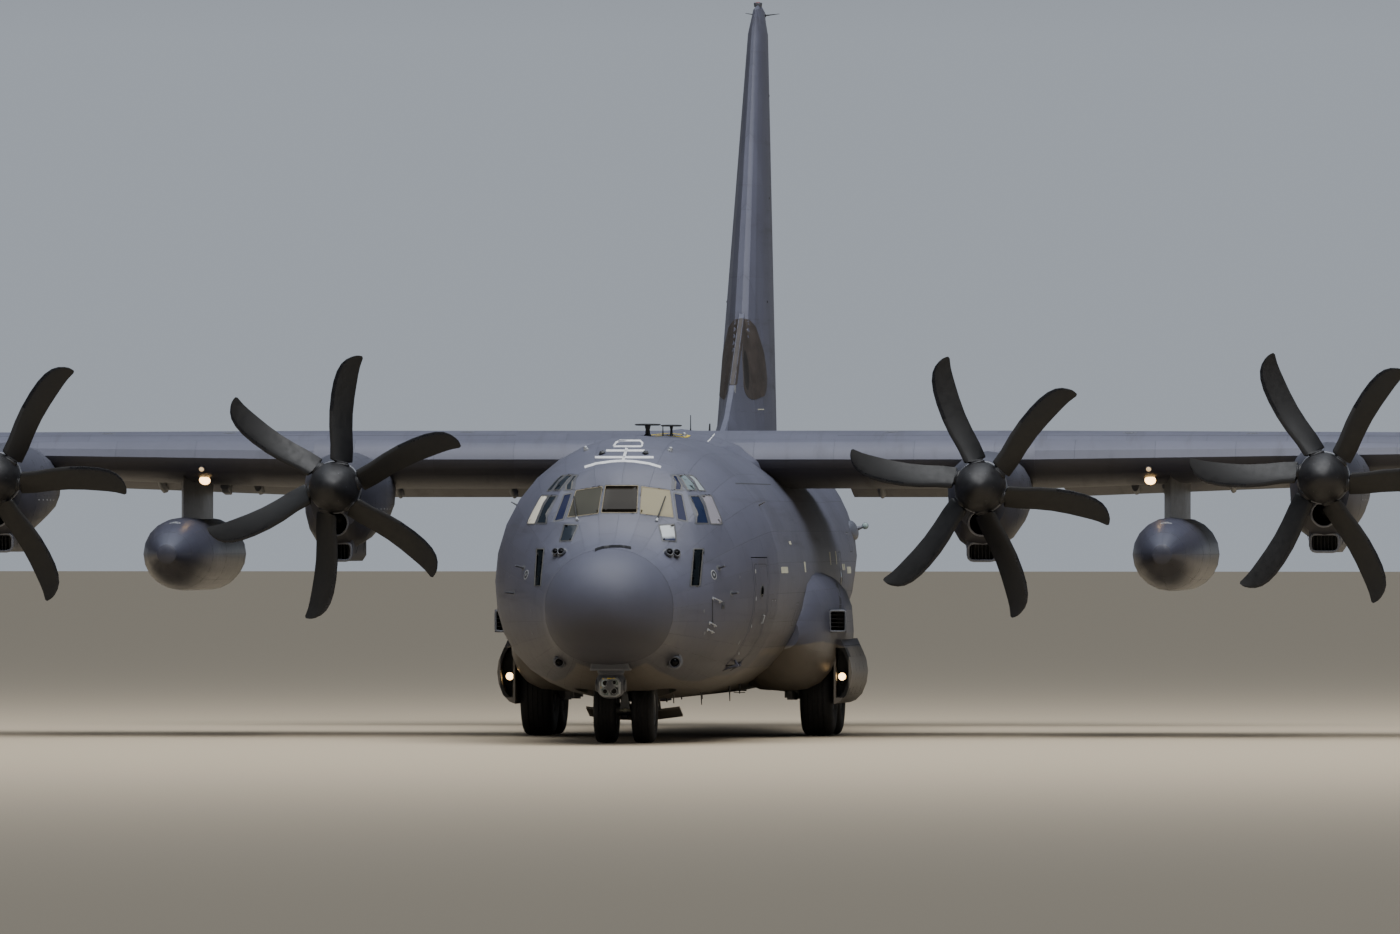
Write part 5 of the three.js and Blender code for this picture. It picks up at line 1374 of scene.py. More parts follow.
def make_side_fittings():
    hull = Skin("nose_shell", "forward_shell", "centre_shell", "aft_shell")
    strips, metal, dark = builds(3)
    for side, _ in SIDES:
        project = hull.side(side)
        for y, z, long, tall in LIGHT_STRIPS:
            strips.plate(centred(y, z, long, tall, 10), project, 0.0022, 0.003, 80)
        # A small scoop, a round port with its rim, and a long seam below the roof
        place, normal = project(5808, 3562)
        fin_on(dark, place, (normal + AHEAD * 0.4).normalized(), 0.055, 0.05, 0.03, 0.014, rake=0.5)
        port, r = project(2877, 2518), 58 * MM
        dark.turned([(r, -0.003), (r, 0.0018), (r * 0.8, 0.0026), (0, 0.0022)], *port)
        metal.turned([(r * 1.3, -0.003), (r * 1.3, 0.0012), (r * 1.02, 0.0022), (r * 1.02, -0.003)], *port)
        metal.turned([(r * 0.36, 0.001), (r * 0.36, 0.0032), (0, 0.0036)], *port, 16)
        dark.strip([(5240, 3885), (10500, 3885)], 16, project, 0.0008, 0.003, step=260)
    # Painted shadow: a thin dark strip on the left sponson, where the scoop casts its shade
    seen = Skin("sponson_left").seen()
    dark.strip([(836.2, 583.5), (839.2, 592), (840.6, 602), (840.2, 611)], 1.9, seen, 0.001, 0.003, step=3)
    # Ahead of the crew door: hand grips, a rod between two of them, a vent
    port = hull.side(1)
    for first, last in HAND_GRIPS:
        (a, na), (b, nb) = port(*first), port(*last)
        grip = [a - na * 0.004, a + na * 0.016, b + nb * 0.016, b - nb * 0.004]
        metal.tube(grip, [0.006, 0.0052, 0.0052, 0.006])
        for place, normal in ((a, na), (b, nb)):
            metal.turned([(0.013, -0.003), (0.013, 0.002), (0.009, 0.004), (0, 0.004)], place, normal, 12)
    (a, na), (b, nb) = port(2730, 2150), port(2790, 1780)
    dark.tube([a + na * 0.004, b + nb * 0.004], 0.004, 6)
    place, normal = port(3060, 2060)
    dark.block(place, (0.05, 0.05, 0.006), (normal.cross(ABOVE), ABOVE, normal), 0.3)
    dark.turned([(0.016, -0.004), (0.016, 0.006), (0.01, 0.01), (0, 0.01)], place, normal, 16)
    # A crossed probe on the crew door's foot
    place, normal = port(4715, 1430)
    for tilt in (0.15, 0.15 + math.pi / 2):
        along = (normal.cross(ABOVE) * math.cos(tilt) + ABOVE * math.sin(tilt)).normalized()
        strips.tube([place + normal * 0.012 - along * 0.035, place + normal * 0.012 + along * 0.035], 0.0042)
    strips.turned([(0.014, -0.004), (0.014, 0.012), (0.008, 0.018), (0, 0.019)], place, normal, 14)
    for side, _ in SIDES:
        project = hull.side(side)
        for y, z, wide, tall in SERVICE_PANELS:
            hole = centred(y, z, wide - 24, tall - 24, 34)
            dark.plate(centred(y, z, wide, tall, 40), project, 0.0007, 0.003, 130, hole=hole)
            for dy in (-0.32, 0.32):
                latch = project(y + wide * dy, z + tall * 0.42)
                metal.turned([(0.006, -0.002), (0.006, 0.0012), (0, 0.0016)], *latch, 10)
    strips.piece("light_strips", STRIP_CREAM, 30)
    metal.piece("side_handles", PIVOT_GREY, 40)
    dark.piece("side_panels_and_scoop_shadow", PANEL_LINE, 30)


def make_doors():
    """Windows, handles and edges of the crew door and the two paratroop doors"""
    for node, side, (y0, y1), (z0, z1), size, body in (
        ("crew_door", 1, (4250, 4890), (1230, 2680), 88, "crew_door"),
        ("troop_door_left", 1, (17010, 17500), (1230, 2850), 128, "airframe"),
        ("troop_door_right", -1, (17010, 17500), (1230, 2850), 128, "airframe"),
    ):
        project = Skin(node).side(side)
        edge, panes, rims, metal = builds(4)
        gap = oblong(y0 + 14, y1 - 14, z0 + 14, z1 - 14, 50)
        edge.plate(oblong(y0, y1, z0, z1, 60), project, 0.0008, 0.002, 110, hole=gap)
        # The window in its raised rim
        middle = ((y0 + y1) / 2, z1 - 420)
        rims.plate(circle(*middle, size + 34), project, 0.0022, 0.003, 90, hole=circle(*middle, size))
        panes.plate(circle(*middle, size), project, 0.00088, 0.003, 90)
        y, z = y1 - 110, z0 + 620
        rims.plate(centred(y, z, 140, 180, 30), project, 0.001, 0.002, 60)
        place, normal = project(y, z)
        along = (ABOVE - normal * ABOVE.dot(normal)).normalized()
        handle = ((0.03, -0.002), (0.03, 0.012), (-0.03, 0.012), (-0.03, -0.002))
        metal.tube([place + along * a + normal * b for a, b in handle], 0.0048)
        for t in (0.08, 0.36, 0.64, 0.92):
            place, normal = project(y0 + 40, z0 + (z1 - z0) * t)
            metal.block(place, (0.012, 0.03, 0.005), (normal.cross(ABOVE), ABOVE, normal), 0.3)
        edge.piece(f"{node}_edge", PANEL_LINE, 30, body)
        panes.piece(f"{node}_window", SIDE_GLASS, 25, body)
        rims.piece(f"{node}_rims", FRAME_PAINT, 30, body)
        metal.piece(f"{node}_handle", PIVOT_GREY, 40, body)


# The warning pods' fairing, as distance along it, half its width and how far it stands out
WARNING_POD = (21278, 3191)
POD_RINGS = (
    (-620, 16, 3), (-560, 90, 36), (-420, 150, 72), (0, 165, 92), (420, 150, 80), (620, 90, 40), (700, 16, 3)
)


def make_warning_pods():
    """A low fairing with a round sensor on a stem, on each side of the tail"""
    skin = Skin("aft_shell")
    pods, balls = builds(2)
    pod_y, pod_z = WARNING_POD
    for side, _ in SIDES:
        project = skin.side(side)
        rings = []
        for dy, wide, out in POD_RINGS:
            centre, n = project(pod_y + dy, pod_z)
            lift = (ABOVE - n * ABOVE.dot(n)).normalized()
            turns = [(math.cos(math.pi * a / 13), math.sin(math.pi * a / 13)) for a in range(14)]
            rings.append([centre + lift * c * wide * MM + n * (s * out * MM - 0.005) for c, s in turns])
        pods.rings(rings)
        place, normal = project(pod_y, pod_z)
        pods.turned([(0.02, -0.01), (0.016, 0.05), (0.013, 0.064), (0.013, 0.09)], place, normal, 20)
        ball = place + normal * 0.104
        turns = [math.pi * k / 12 for k in range(13)]
        balls.turned([(0.025 * math.sin(t), -0.025 * math.cos(t)) for t in turns], ball, normal)
        pods.turned([(0.0262, -0.003), (0.0272, 0), (0.0262, 0.003)], ball, AHEAD, 28)
    pods.piece("warning_pods", FIT_GREY, 40)
    balls.piece("warning_pod_lenses", POD_LENS, 40)


make_roof_fittings()
make_belly_fittings()
make_side_fittings()
make_doors()
make_warning_pods()


# Undercarriage
def link(build, a, b, wide_a, wide_b, thick):
    """A tapered forging between two places, lightened by a groove on each side. Sizes are in metres"""
    ahead = (b - a).normalized()
    aside = ASIDE if abs(ahead.x) < 0.9 else ABOVE
    flat = ahead.cross(aside).normalized()
    rings = []
    for t in (0.0, 0.06, 0.12, 0.88, 0.94, 1.0):
        reach = (wide_a + (wide_b - wide_a) * t) * (0.8 if t in (0.0, 1.0) else 1.0) / 2
        web = 0.5 if 0.1 < t < 0.9 else 1.0
        section = ((1, -1), (1, 1), (0.62, 1), (0.5, web), (-0.5, web), (-0.62, 1),
                   (-1, 1), (-1, -1), (-0.62, -1), (-0.5, -web), (0.5, -web), (0.62, -1))
        rings.append([a.lerp(b, t) + aside * reach * p + flat * thick / 2 * q for p, q in section])
    build.rings(rings)


def collar(build, x, y, z, radius, high, sides=28):
    """A ring round an upright leg, its edges cut back"""
    r, h = radius * MM, high * MM
    half = [(r, h * 0.4), (r * 0.98, h / 2), (r * 0.9, h / 2)]
    build.turned([(a, -b) for a, b in reversed(half)] + half, at(x, y, z), ABOVE, sides)


def make_nose_gear():
    fork, light, dark, leg, pipes, steel = builds(6)
    shield = [(-48, 735), (48, 735), (60, 640), (84, 500), (-84, 500), (-60, 640)]
    fork.rings([[at(x * w, y, z) for x, z in shield] for y, w in ((3744, 1.0), (3708, 1.0), (3700, 0.9))])
    light.block(at(0, 3680, 492), (0.084, 0.02, 0.017), bevel=0.3)
    light.block(at(0, 3672, 492), (0.03, 0.016, 0.03), bevel=0.3)
    for x in (-62, 62):
        steel.turned([(0.006, 0), (0.006, 0.01), (0.004, 0.012), (0, 0.012)], at(x, 3700, 600), AHEAD, 12)
        dark.tube([at(x * 1.5, 3985, 940), at(x * 1.6, 3998, 760), at(x * 1.2, 3975, 560)], 0.0045)
    dark.block(at(0, 3700, 400), (0.05, 0.03, 0.03), bevel=0.25)
    dark.turned([(0.012, -0.02), (0.012, 0.02)], at(0, 3690, 385), ASIDE, 14)
    apex = at(0, 4290, 800)
    link(fork, at(0, 4040, 640), apex, 0.08, 0.05, 0.016)
    link(fork, apex + ABOVE * 0.004, at(0, 4000, 985), 0.05, 0.09, 0.016)
    steel.turned([(0.014, -0.034), (0.014, 0.034)], apex, ASIDE, 14)
    collar(fork, 0, 3820, 985, 128, 50)
    for z, radius, high in ((1075, 132, 70), (1330, 122, 60), (1640, 118, 50)):
        collar(leg, 0, 3820, z, radius, high)
    for side, _ in SIDES:
        leg.tube([at(side * 105, 3740, 1080), at(side * 240, 3740, 1080)], 0.026, 16)
        pipes.tube([at(side * 235, 3740, 1080), at(side * 300, 3740, 1080)], 0.012, 12)
        leg.tube([at(side * 60, 3900, 1330), at(side * 190, 4450, 1620), at(side * 210, 4560, 1690)], 0.017, 10)
        pipes.tube([at(side * 80, 3915, 1090), at(side * 86, 3925, 1400), at(side * 64, 3912, 1900)], 0.0045)
    fork.piece("nose_fork_links", GEAR_METAL, 35, "nose_fork")
    light.piece("nose_taxi_bar", STRIP_CREAM, 30, "nose_fork")
    dark.piece("nose_gear_lines", SENSOR_BLACK, 40, "nose_fork")
    steel.piece("nose_gear_pins", BOLT_STEEL, 40, "nose_fork")
    leg.piece("nose_leg_fittings", GEAR_METAL)
    pipes.piece("nose_leg_pipes", SENSOR_BLACK, 40)


def make_main_gear():
    metal, bright, dark = builds(3)
    for side, _ in SIDES:
        x = side * 1760
        for y in (12830, 14350):
            for z, r, h in ((1250, 118, 90), (1020, 108, 50), (860, 116, 70)):
                collar(metal, x, y, z, r, h)
            bright.turned([(0.0436, 0), (0.0436, 0.1)], at(x, y, 640), ABOVE, 28)
            apex = at(x, y + 300, 760)
            link(metal, at(x, y + 70, 880), apex, 0.07, 0.045, 0.014)
            link(metal, apex, at(x, y + 70, 640), 0.045, 0.07, 0.014)
            bright.turned([(0.012, -0.03), (0.012, 0.03)], apex, ASIDE, 14)
            dark.tube([at(x + 60, y - 85, 1240), at(x + 70, y - 100, 900), at(x + 110 * side, y - 60, 700)], 0.0045)
            dark.tube([at(x - 60, y - 85, 1240), at(x - 70, y - 100, 960), at(x - 30, y - 90, 720)], 0.0038)
            metal.turned([(0.05, -0.02), (0.055, 0), (0.055, 0.05), (0.04, 0.07)], at(x, y, 711), ASIDE * side, 24)
    metal.piece("main_leg_fittings", GEAR_METAL)
    bright.piece("main_leg_pistons", BOLT_STEEL, 40)
    dark.piece("main_leg_pipes", SENSOR_BLACK, 40)


def make_gear_doors():
    bezels, lenses, edges = builds(3)
    for side, word in SIDES:
        lamp_on(bezels, lenses, at(side * 2580, 12230, 925), AHEAD, 0.03, 0.085)
        bezels.block(at(side * 2580, 12330, 860), (0.02, 0.05, 0.05), bevel=0.25)
        outside = Skin(f"gear_door_{word}").side(side)
        for y in (12900, 13600, 14400):
            edges.strip([(y, 640), (y, 1360)], 10, outside, 0.0006, 0.002, step=120)
        edges.strip([(12100, 1400), (15100, 1400)], 10, outside, 0.0006, 0.002, step=200)
    bezels.piece("gear_door_lamp_housings", SENSOR_GREY)
    lenses.piece("gear_door_lamps", LAMP_LIT, 40)
    edges.piece("gear_door_seams", PANEL_LINE, 30)


def make_scoops():
    """Rims and louvres of the two air scoops ahead of the sponsons"""
    lips, vanes = builds(2)
    rim = rounded([(2462, 1626), (2708, 1626), (2708, 1944), (2462, 1944)], 40)
    vane = ((2482, 11330), (2698, 11330), (2698, 11420), (2482, 11420))
    for side, _ in SIDES:
        lips.tube([at(side * x, 11302, z) for x, z in rim], 0.009, closed=True)
        for z in (1700, 1760, 1820, 1880):
            vanes.rings([[at(side * x, y, z + dz) for x, y in vane] for dz in (-5, 0, 5)])
    lips.piece("scoop_lips", SEAM_GREY, 40)
    vanes.piece("scoop_vanes", SENSOR_BLACK, 30)


# Nacelles
COWL_SEAMS = (9780, 10900, 12150)
LATCHES = (9980, 10350, 10720, 11150, 11600)
COOLING_VENTS = ((10300, 150), (11400, 60))
COWL_RING_PROFILE = ((0.165, 0.0), (0.197, -0.002), (0.203, 0.006), (0.203, 0.02), (0.197, 0.026), (0.165, 0.026))
HUB_PROFILE = ((0.0, 0.0), (0.07, 0.0), (0.072, 0.004), (0.03, 0.03), (0, 0.04))
EXHAUST_PROFILE = (
    (0.085, -0.16), (0.1, -0.1), (0.108, 0.0), (0.111, 0.06), (0.108, 0.064), (0.1, 0.05), (0.095, -0.02),
    (0.0, -0.03),
)


def make_nacelle_fittings():
    rings, seams, lips, vanes, pipes, metal, bores = builds(7)
    cooler = rounded([(-215, -1122), (215, -1122), (215, -850), (-215, -850)], 90)
    vane = ((9400, -1106), (9560, -1106), (9560, -884), (9400, -884))
    for kind, x0, z0 in NACELLES:
        for side, word in SIDES:
            x = side * x0
            skin = Skin(f"nacelle_{kind}_{word}")
            rings.turned(COWL_RING_PROFILE, at(x, 9118, z0), AHEAD, 48)
            for y in COWL_SEAMS:
                girdle(seams, skin, x, z0 - 250, y, 9, 44, 1500)
            # The round intake leans back below, and the oil cooler's mouth is under it
            mouth = [(px, max(0, -640 - pz) * 0.955, pz) for px, pz in circle(0, -548, 190, 190, 36)]
            lips.tube([at(x + px, 9104 + py, z0 + pz) for px, py, pz in mouth], 0.0085, 10, closed=True)
            bores.turned(HUB_PROFILE, at(x, 9560, z0 - 500), AHEAD, 24)
            lips.tube([at(x + px, 9356, z0 + pz) for px, pz in cooler], 0.0105, 10, closed=True)
            for offset in range(-168, 169, 56):
                vanes.rings([[at(x + offset + w, y, z0 + z) for y, z in vane] for w in (-4, 4)])
            # The exhaust pipe under the cowl's tail
            pipes.turned(EXHAUST_PROFILE, at(x, 13930, z0 - 190), (0, 1, -0.12), 32)
            for out, _ in SIDES:
                def project(y, z):
                    return skin.shot(at(x + out * 1400, y, z), ASIDE * -out)

                for y in LATCHES:
                    hit = project(y, z0 - 330)
                    if hit:
                        place, normal = hit
                        metal.block(place, (0.03, 0.012, 0.004), (BACK, normal.cross(BACK), normal), 0.3)
                for y, z in COOLING_VENTS:
                    hole = circle(y, z0 + z, 104, 32)
                    seams.plate(circle(y, z0 + z, 120, 46), project, 0.0006, 0.002, 60, hole=hole)
    rings.piece("cowl_rings", COWL_RING, 40)
    seams.piece("cowl_seams", PANEL_LINE, 30)
    lips.piece("intake_lips", LIP_GREY, 40)
    vanes.piece("cooler_vanes", SENSOR_BLACK, 30)
    pipes.piece("exhaust_pipes", ENGINE_METAL)
    metal.piece("cowl_latches", PIVOT_GREY, 30)
    bores.piece("intake_hubs", HUB_DARK, 40)


# Wings
FILLER_CAPS = ((3300, 12800), (7000, 12700), (8900, 12700), (12600, 12700), (16200, 12650))
WING_TIP = 19960


def make_wing_fittings():
    bezels, lit, dim, seams, caps, red, green = builds(7)
    for side, word in SIDES:
        skin = Skin("wing_centre", f"wing_{word}")
        below, over = skin.above(-1), skin.above()
        for y, r, lens in ((12350, 0.044, lit), (11920, 0.02, dim)):
            place, normal = below(side * 7340, y)
            facing = (normal + AHEAD * 1.1).normalized()
            lamp_on(bezels, lens, place + normal * 0.012 + AHEAD * 0.012, facing, r, 0.05)
        place = next(hit for hit in (over(side * WING_TIP, y) for y in range(12000, 15000, 15)) if hit)[0]
        light = [(0.03, -0.02), (0.03, 0.0), (0.024, 0.03), (0.012, 0.044), (0, 0.048)]
        (green if side < 0 else red).turned(light, place - ABOVE * 0.012, (side * 0.75, -0.66, 0))
        for x, y in FILLER_CAPS:
            caps.plate(circle(side * x, y, 110), over, 0.0014, 0.003, 60, hole=circle(side * x, y, 84))
            caps.plate(circle(side * x, y, 60), over, 0.0018, 0.003, 50, hole=circle(side * x, y, 22))
        # Seams along the two spars, each at its share of the chord, and two seams across
        spars = {0.16: [], 0.85: []}
        for x in range(2500, 19000, 1400):
            hits = [y for y in range(11500, 16900, 20) if over(side * x, y) and below(side * x, y)]
            for share, path in spars.items():
                path.append((side * x, hits[0] + (hits[-1] - hits[0]) * share))
            if x in (5300, 12300):
                across = [(side * x, hits[0] + 200), (side * x, hits[-1] - 200)]
                seams.strip(across, 14, over, 0.0005, 0.002, step=300)
        for path in spars.values():
            for project, run in ((over, path), (below, path[-6:])):
                seams.strip(run, 12, project, 0.0005, 0.002, step=500)
    bezels.piece("wing_lamp_housings", SENSOR_GREY)
    lit.piece("landing_lamps", LAMP_WARM, 40)
    dim.piece("leading_edge_lamps", LAMP_DIM, 40)
    red.piece("wing_tip_light_left", RED_LENS, 40)
    green.piece("wing_tip_light_right", GREEN_LENS, 40)
    caps.piece("filler_caps", SEAM_GREY, 30)
    seams.piece("wing_seams", PANEL_LINE, 30)


def static_wick(build, place, drop=0.0):
    """A thin rod that trails from a surface's rear edge"""
    rod = [place - Vector((0, 0.02, drop)), place + BACK * 0.03, place + BACK * 0.1]
    build.tube(rod, [0.0035, 0.0028, 0.0016], 6)


# The surface, its wicks' places aside, and the y where the search for its rear edge begins
SURFACES = (
    ("aileron", (13400, 14800, 16200, 17600, 18900), 15770),
    ("elevator", (2400, 4000, 5600, 7200), 28700),
)
# The flap, its hinges' places aside, and the y of their fairings' ends
FLAPS = (("flap_inner", (2900, 4700), 15640, 16540), ("flap_outer", (6900, 8420, 11300), 15300, 16450))
# Rings of a fairing: the share of its length, half its width and its depth
HINGE_FAIRING = ((0.0, 6, 4), (0.12, 44, 60), (0.35, 62, 120), (0.65, 58, 110), (0.9, 34, 50), (1.0, 6, 4))
DRIVE_FAIRING = ((0.1, 50, 30), (0.14, 66, 120), (0.3, 68, 150), (0.6, 60, 120), (0.76, 30, 30))
DRIVE_X = 7400


def half_round(wide, deep):
    turns = [math.pi * k / 10 for k in range(11)]
    return [Vector((math.cos(t) * wide * MM, 0, 0.004 - math.sin(t) * deep * MM)) for t in turns]


def square_cut(wide, deep):
    cheek, keel = -deep * 0.9 * MM, -deep * MM
    rim = ((-1, 0.008), (1, 0.008), (1, cheek), (0.8, keel), (-0.8, keel), (-1, cheek))
    return [Vector((p * wide * MM, 0, q)) for p, q in rim]


def make_control_surfaces():
    """Static wicks, the ailerons' tab lines and the flaps' hinge fairings. Each set rides its own surface"""
    for kind, places, rear in SURFACES:
        for side, word in SIDES:
            node = f"{kind}_{word}"
            over = Skin(node).above()
            wicks, line = builds(2)
            for x in places:
                hits = (over(side * x, rear - back) for back in range(0, 900, 30))
                static_wick(wicks, next(hit for hit in hits if hit)[0], 0.002)
            wicks.piece(f"{node}_wicks", SENSOR_BLACK, 40, node)
            if kind == "aileron":
                ends = sorted((side * 12600, side * 14700))
                line.strip([(x, 15420) for x in ends], 14, over, 0.0006, 0.002, step=400)
                line.piece(f"{node}_tab_line", PANEL_LINE, 30, node)
    for kind, hinges, y0, y1 in FLAPS:
        for side, word in SIDES:
            node = f"{kind}_{word}"
            below = Skin(node).above(-1)
            fairings = Build()
            forms = [(x, HINGE_FAIRING, half_round) for x in hinges]
            if kind == "flap_outer":
                forms.append((DRIVE_X, DRIVE_FAIRING, square_cut))
            for x, form, section in forms:
                feet = [(below(side * x, y0 + (y1 - y0) * t), wide, deep) for t, wide, deep in form]
                rings = [[foot[0] + p for p in section(wide, deep)] for foot, wide, deep in feet if foot]
                if len(rings) > 2:
                    fairings.rings(rings)
            fairings.piece(f"{node}_hinge_fairings", SEAM_GREY, 40, node)


def make_tank_fittings():
    seams, caps = builds(2)
    for side, word in SIDES:
        skin = Skin(f"fuel_tank_{word}")
        for y in (10420, 11560, 13200, 15560, 16760):
            girdle(seams, skin, side * TANK_X, TANK_Z, y, 10, 48, 1400, gap=28 if 12000 < y < 16000 else None)
        over = skin.above()
        for y in (11100, 16200):
            caps.plate(circle(side * TANK_X, y, 90), over, 0.0016, 0.003, 50, hole=circle(side * TANK_X, y, 64))
            caps.plate(circle(side * TANK_X, y, 44), over, 0.002, 0.003, 40, hole=circle(side * TANK_X, y, 14))
    seams.piece("tank_seams", PANEL_LINE, 30)
    caps.piece("tank_caps", PIVOT_GREY, 30)


# Fin and tail. The brown patch at the fillet's edge, darker than the paint, as outlines of (y, z): all of it, and
# its dark core
PATCH_OUTLINE = (
    (22750, 5430), (23300, 5930), (23850, 6420), (24130, 6640), (24290, 6500), (24411, 6268), (24560, 5950),
    (24640, 5600), (24350, 5380), (23700, 5290), (23100, 5330),
)
PATCH_CORE = ((23000, 5560), (23450, 5990), (23700, 6130), (23760, 5900), (23560, 5560), (23250, 5420))


def make_fin_patch(fin):
    patch, core = builds(2)
    for side, _ in SIDES:
        project = fin.side(side)
        patch.plate(rounded(PATCH_OUTLINE, 160), project, 0.0022, 0.003, 55)
        core.plate(rounded(PATCH_CORE, 160), project, 0.003, 0.003, 55)
    # A plate round the leading edge joins the two sides
    edge = rounded([(-66, 5520), (66, 5520), (56, 6610), (-56, 6610)], 30)
    patch.plate(edge, fin.front(20000), 0.003, 0.006, 20)
    return patch, core


def make_fin_fittings():
    fin, rudder = Skin("fin", "rudder"), Skin("rudder")
    patch, core = make_fin_patch(fin)
    fittings, marks, blades, wicks, beacon, bezel, tail = builds(7)
    fin_on(blades, at(40, 22300, 5300), Vector((0.1, -0.15, 1)).normalized(), 0.11, 0.1, 0.04, 0.02, rake=-0.1)
    marks.strip([(757.9, 409.4), (763.9, 409.4)], 1.0, fin.seen(), 0.0012, 0.003, step=2)
    for side, word in SIDES:
        project = fin.side(side)
        place, normal = project(28150, 11640)
        rod = [place - normal * 0.01, place + normal * 0.03, place + normal * 0.12]
        fittings.tube(rod, [0.008, 0.006, 0.0018], 10)
        fittings.turned([(0.016, -0.004), (0.016, 0.003), (0.01, 0.008), (0.0, 0.009)], place, normal, 16)
        for z in (6900, 8600, 10300):
            place, normal = project(25200 + (z - 6900) * 0.6, z)
            fittings.turned([(0.01, -0.003), (0.01, 0.002), (0.006, 0.005), (0, 0.005)], place, normal, 12)
        line = Build()
        line.strip([(28750, 5500), (28750, 8400)], 14, rudder.side(side), 0.0006, 0.002, step=300)
        line.piece(f"rudder_tab_line_{word}", PANEL_LINE, 30, "rudder")
    port = rudder.side(1)
    for z in (5800, 7000, 8200, 9400, 10600):
        rear = next(hit for hit in (port(y, z) for y in range(29150, 28000, -20)) if hit)[0]
        static_wick(wicks, Vector((0, rear.y, rear.z)))
    wicks.piece("rudder_wicks", SENSOR_BLACK, 40, "rudder")
    lamp_on(bezel, beacon, fin.above()(0, 27300)[0] + ABOVE * 0.012, ABOVE, 0.03, 0.03)
    # The tail lamp stands on the rearmost place of the hull's middle line
    hull = Skin("aft_shell")
    hits = [hull.shot(at(0, 31500, z), AHEAD) for z in range(3500, 4500, 50)]
    place = max((hit for hit in hits if hit), key=lambda hit: hit[0].y)[0]
    lamp_on(bezel, tail, place + AHEAD * 0.004, BACK, 0.026, 0.03)
    patch.piece("fin_patch", PATCH_BROWN, 30)
    core.piece("fin_patch_core", PATCH_DARK, 30)
    fittings.piece("fin_fittings", SENSOR_BLACK, 40)
    marks.piece("fin_dash", STRIP_CREAM, 30)
    blades.piece("fin_blade_antenna", PIVOT_GREY, 40)
    bezel.piece("tail_lamp_bezels", SENSOR_GREY)
    beacon.piece("fin_beacon", RED_LENS, 40)
    tail.piece("tail_lamp", WHITE_LENS, 40)


make_nose_gear()
make_main_gear()
make_gear_doors()
make_scoops()
make_nacelle_fittings()
make_wing_fittings()
make_control_surfaces()
make_tank_fittings()
make_fin_fittings()


# Flight deck and seats
def cushion(build, centre, size, axes, crown, channels, rows=14, columns=14):
    """A crowned, closed cushion. Its edges pull in between its corners, and its front has sewn channels"""
    centre = Vector(centre)
    a, b, c = [Vector(v).normalized() for v in axes]
    wide, tall, deep = [s / 2 for s in size]
    verts, faces = [], []
    for face in (1, -1):
        for i in range(rows + 1):
            for j in range(columns + 1):
                u, v = -1 + 2 * j / columns, -1 + 2 * i / rows
                pull = 0.035 * (1 - abs(u) ** 4) * abs(v) ** 6
                side_pull = 0.035 * (1 - abs(v) ** 4) * abs(u) ** 6
                x = u * (1 - side_pull) * wide
                y = v * (1 - pull) * tall
                edge = (1 - abs(u) ** 5) * (1 - abs(v) ** 5)
                swell = edge**0.35 if edge > 0 else 0.0
                z = face * deep * (0.16 + 0.84 * swell)
                if face > 0:
                    groove = sum(math.exp(-(((v - k) / 0.05) ** 2)) for k in channels)
                    z = z + crown * edge - 0.22 * deep * groove * swell
                verts.append(centre + a * x + b * y + c * z)
    n = columns + 1
    half = n * (rows + 1)
    for i in range(rows):
        for j in range(columns):
            p = i * n + j
            faces.append((p, p + 1, p + n + 1, p + n))
            faces.append((half + p, half + p + n, half + p + n + 1, half + p + 1))
    border = list(range(n)) + [i * n + columns for i in range(1, rows + 1)]
    border += [rows * n + j for j in range(columns - 1, -1, -1)] + [i * n for i in range(rows - 1, 0, -1)]
    for p, q in zip(border, border[1:] + border[:1]):
        faces.append((p, half + p, half + q, q))
    build.take(verts, faces)


def piping(build, centre, size, axes, radius=0.0028):
    """The sewn cord round a cushion's edge"""
    centre = Vector(centre)
    a, b, _ = [Vector(v).normalized() for v in axes]
    wide, tall = size[0] / 2, size[1] / 2
    edge = rounded([(-wide, -tall), (wide, -tall), (wide, tall), (-wide, tall)], 0.02, 4)
    build.tube([centre + a * x + b * y for x, y in edge], radius, closed=True)


SEAT_X = 540  # also the control columns' place aside
FLAT = (ASIDE, BACK, ABOVE)
LEANING = (ASIDE, Vector((0, 0.06, 1)), Vector((0, -1, 0.06)))
CUSHIONS = (
    # part, y, z, size, axes, crown, channels
    ("cushion", 3655, 2640, (0.226, 0.226, 0.05), FLAT, 0.006, (-0.34, 0.32)),
    ("backrest", 3905, 2985, (0.224, 0.33, 0.05), LEANING, 0.006, (-0.5, 0.0, 0.5)),
    ("headrest", 3910, 3410, (0.124, 0.1, 0.046), LEANING, 0.004, (0.0,)),
)
# Rods and straps on each side of a seat, as (distance from its middle, y, z)
ARMREST = ((232, 3960, 2860), (236, 3640, 2850), (236, 3480, 2835))
ARMREST_STAY = ((220, 3900, 2590), (228, 3950, 2860))
SHOULDER_STRAP = ((70, 3868, 3290), (78, 3836, 3050), (60, 3822, 2860), (30, 3760, 2712))
LAP_STRAP = ((205, 3800, 2640), (130, 3735, 2722), (25, 3700, 2735))


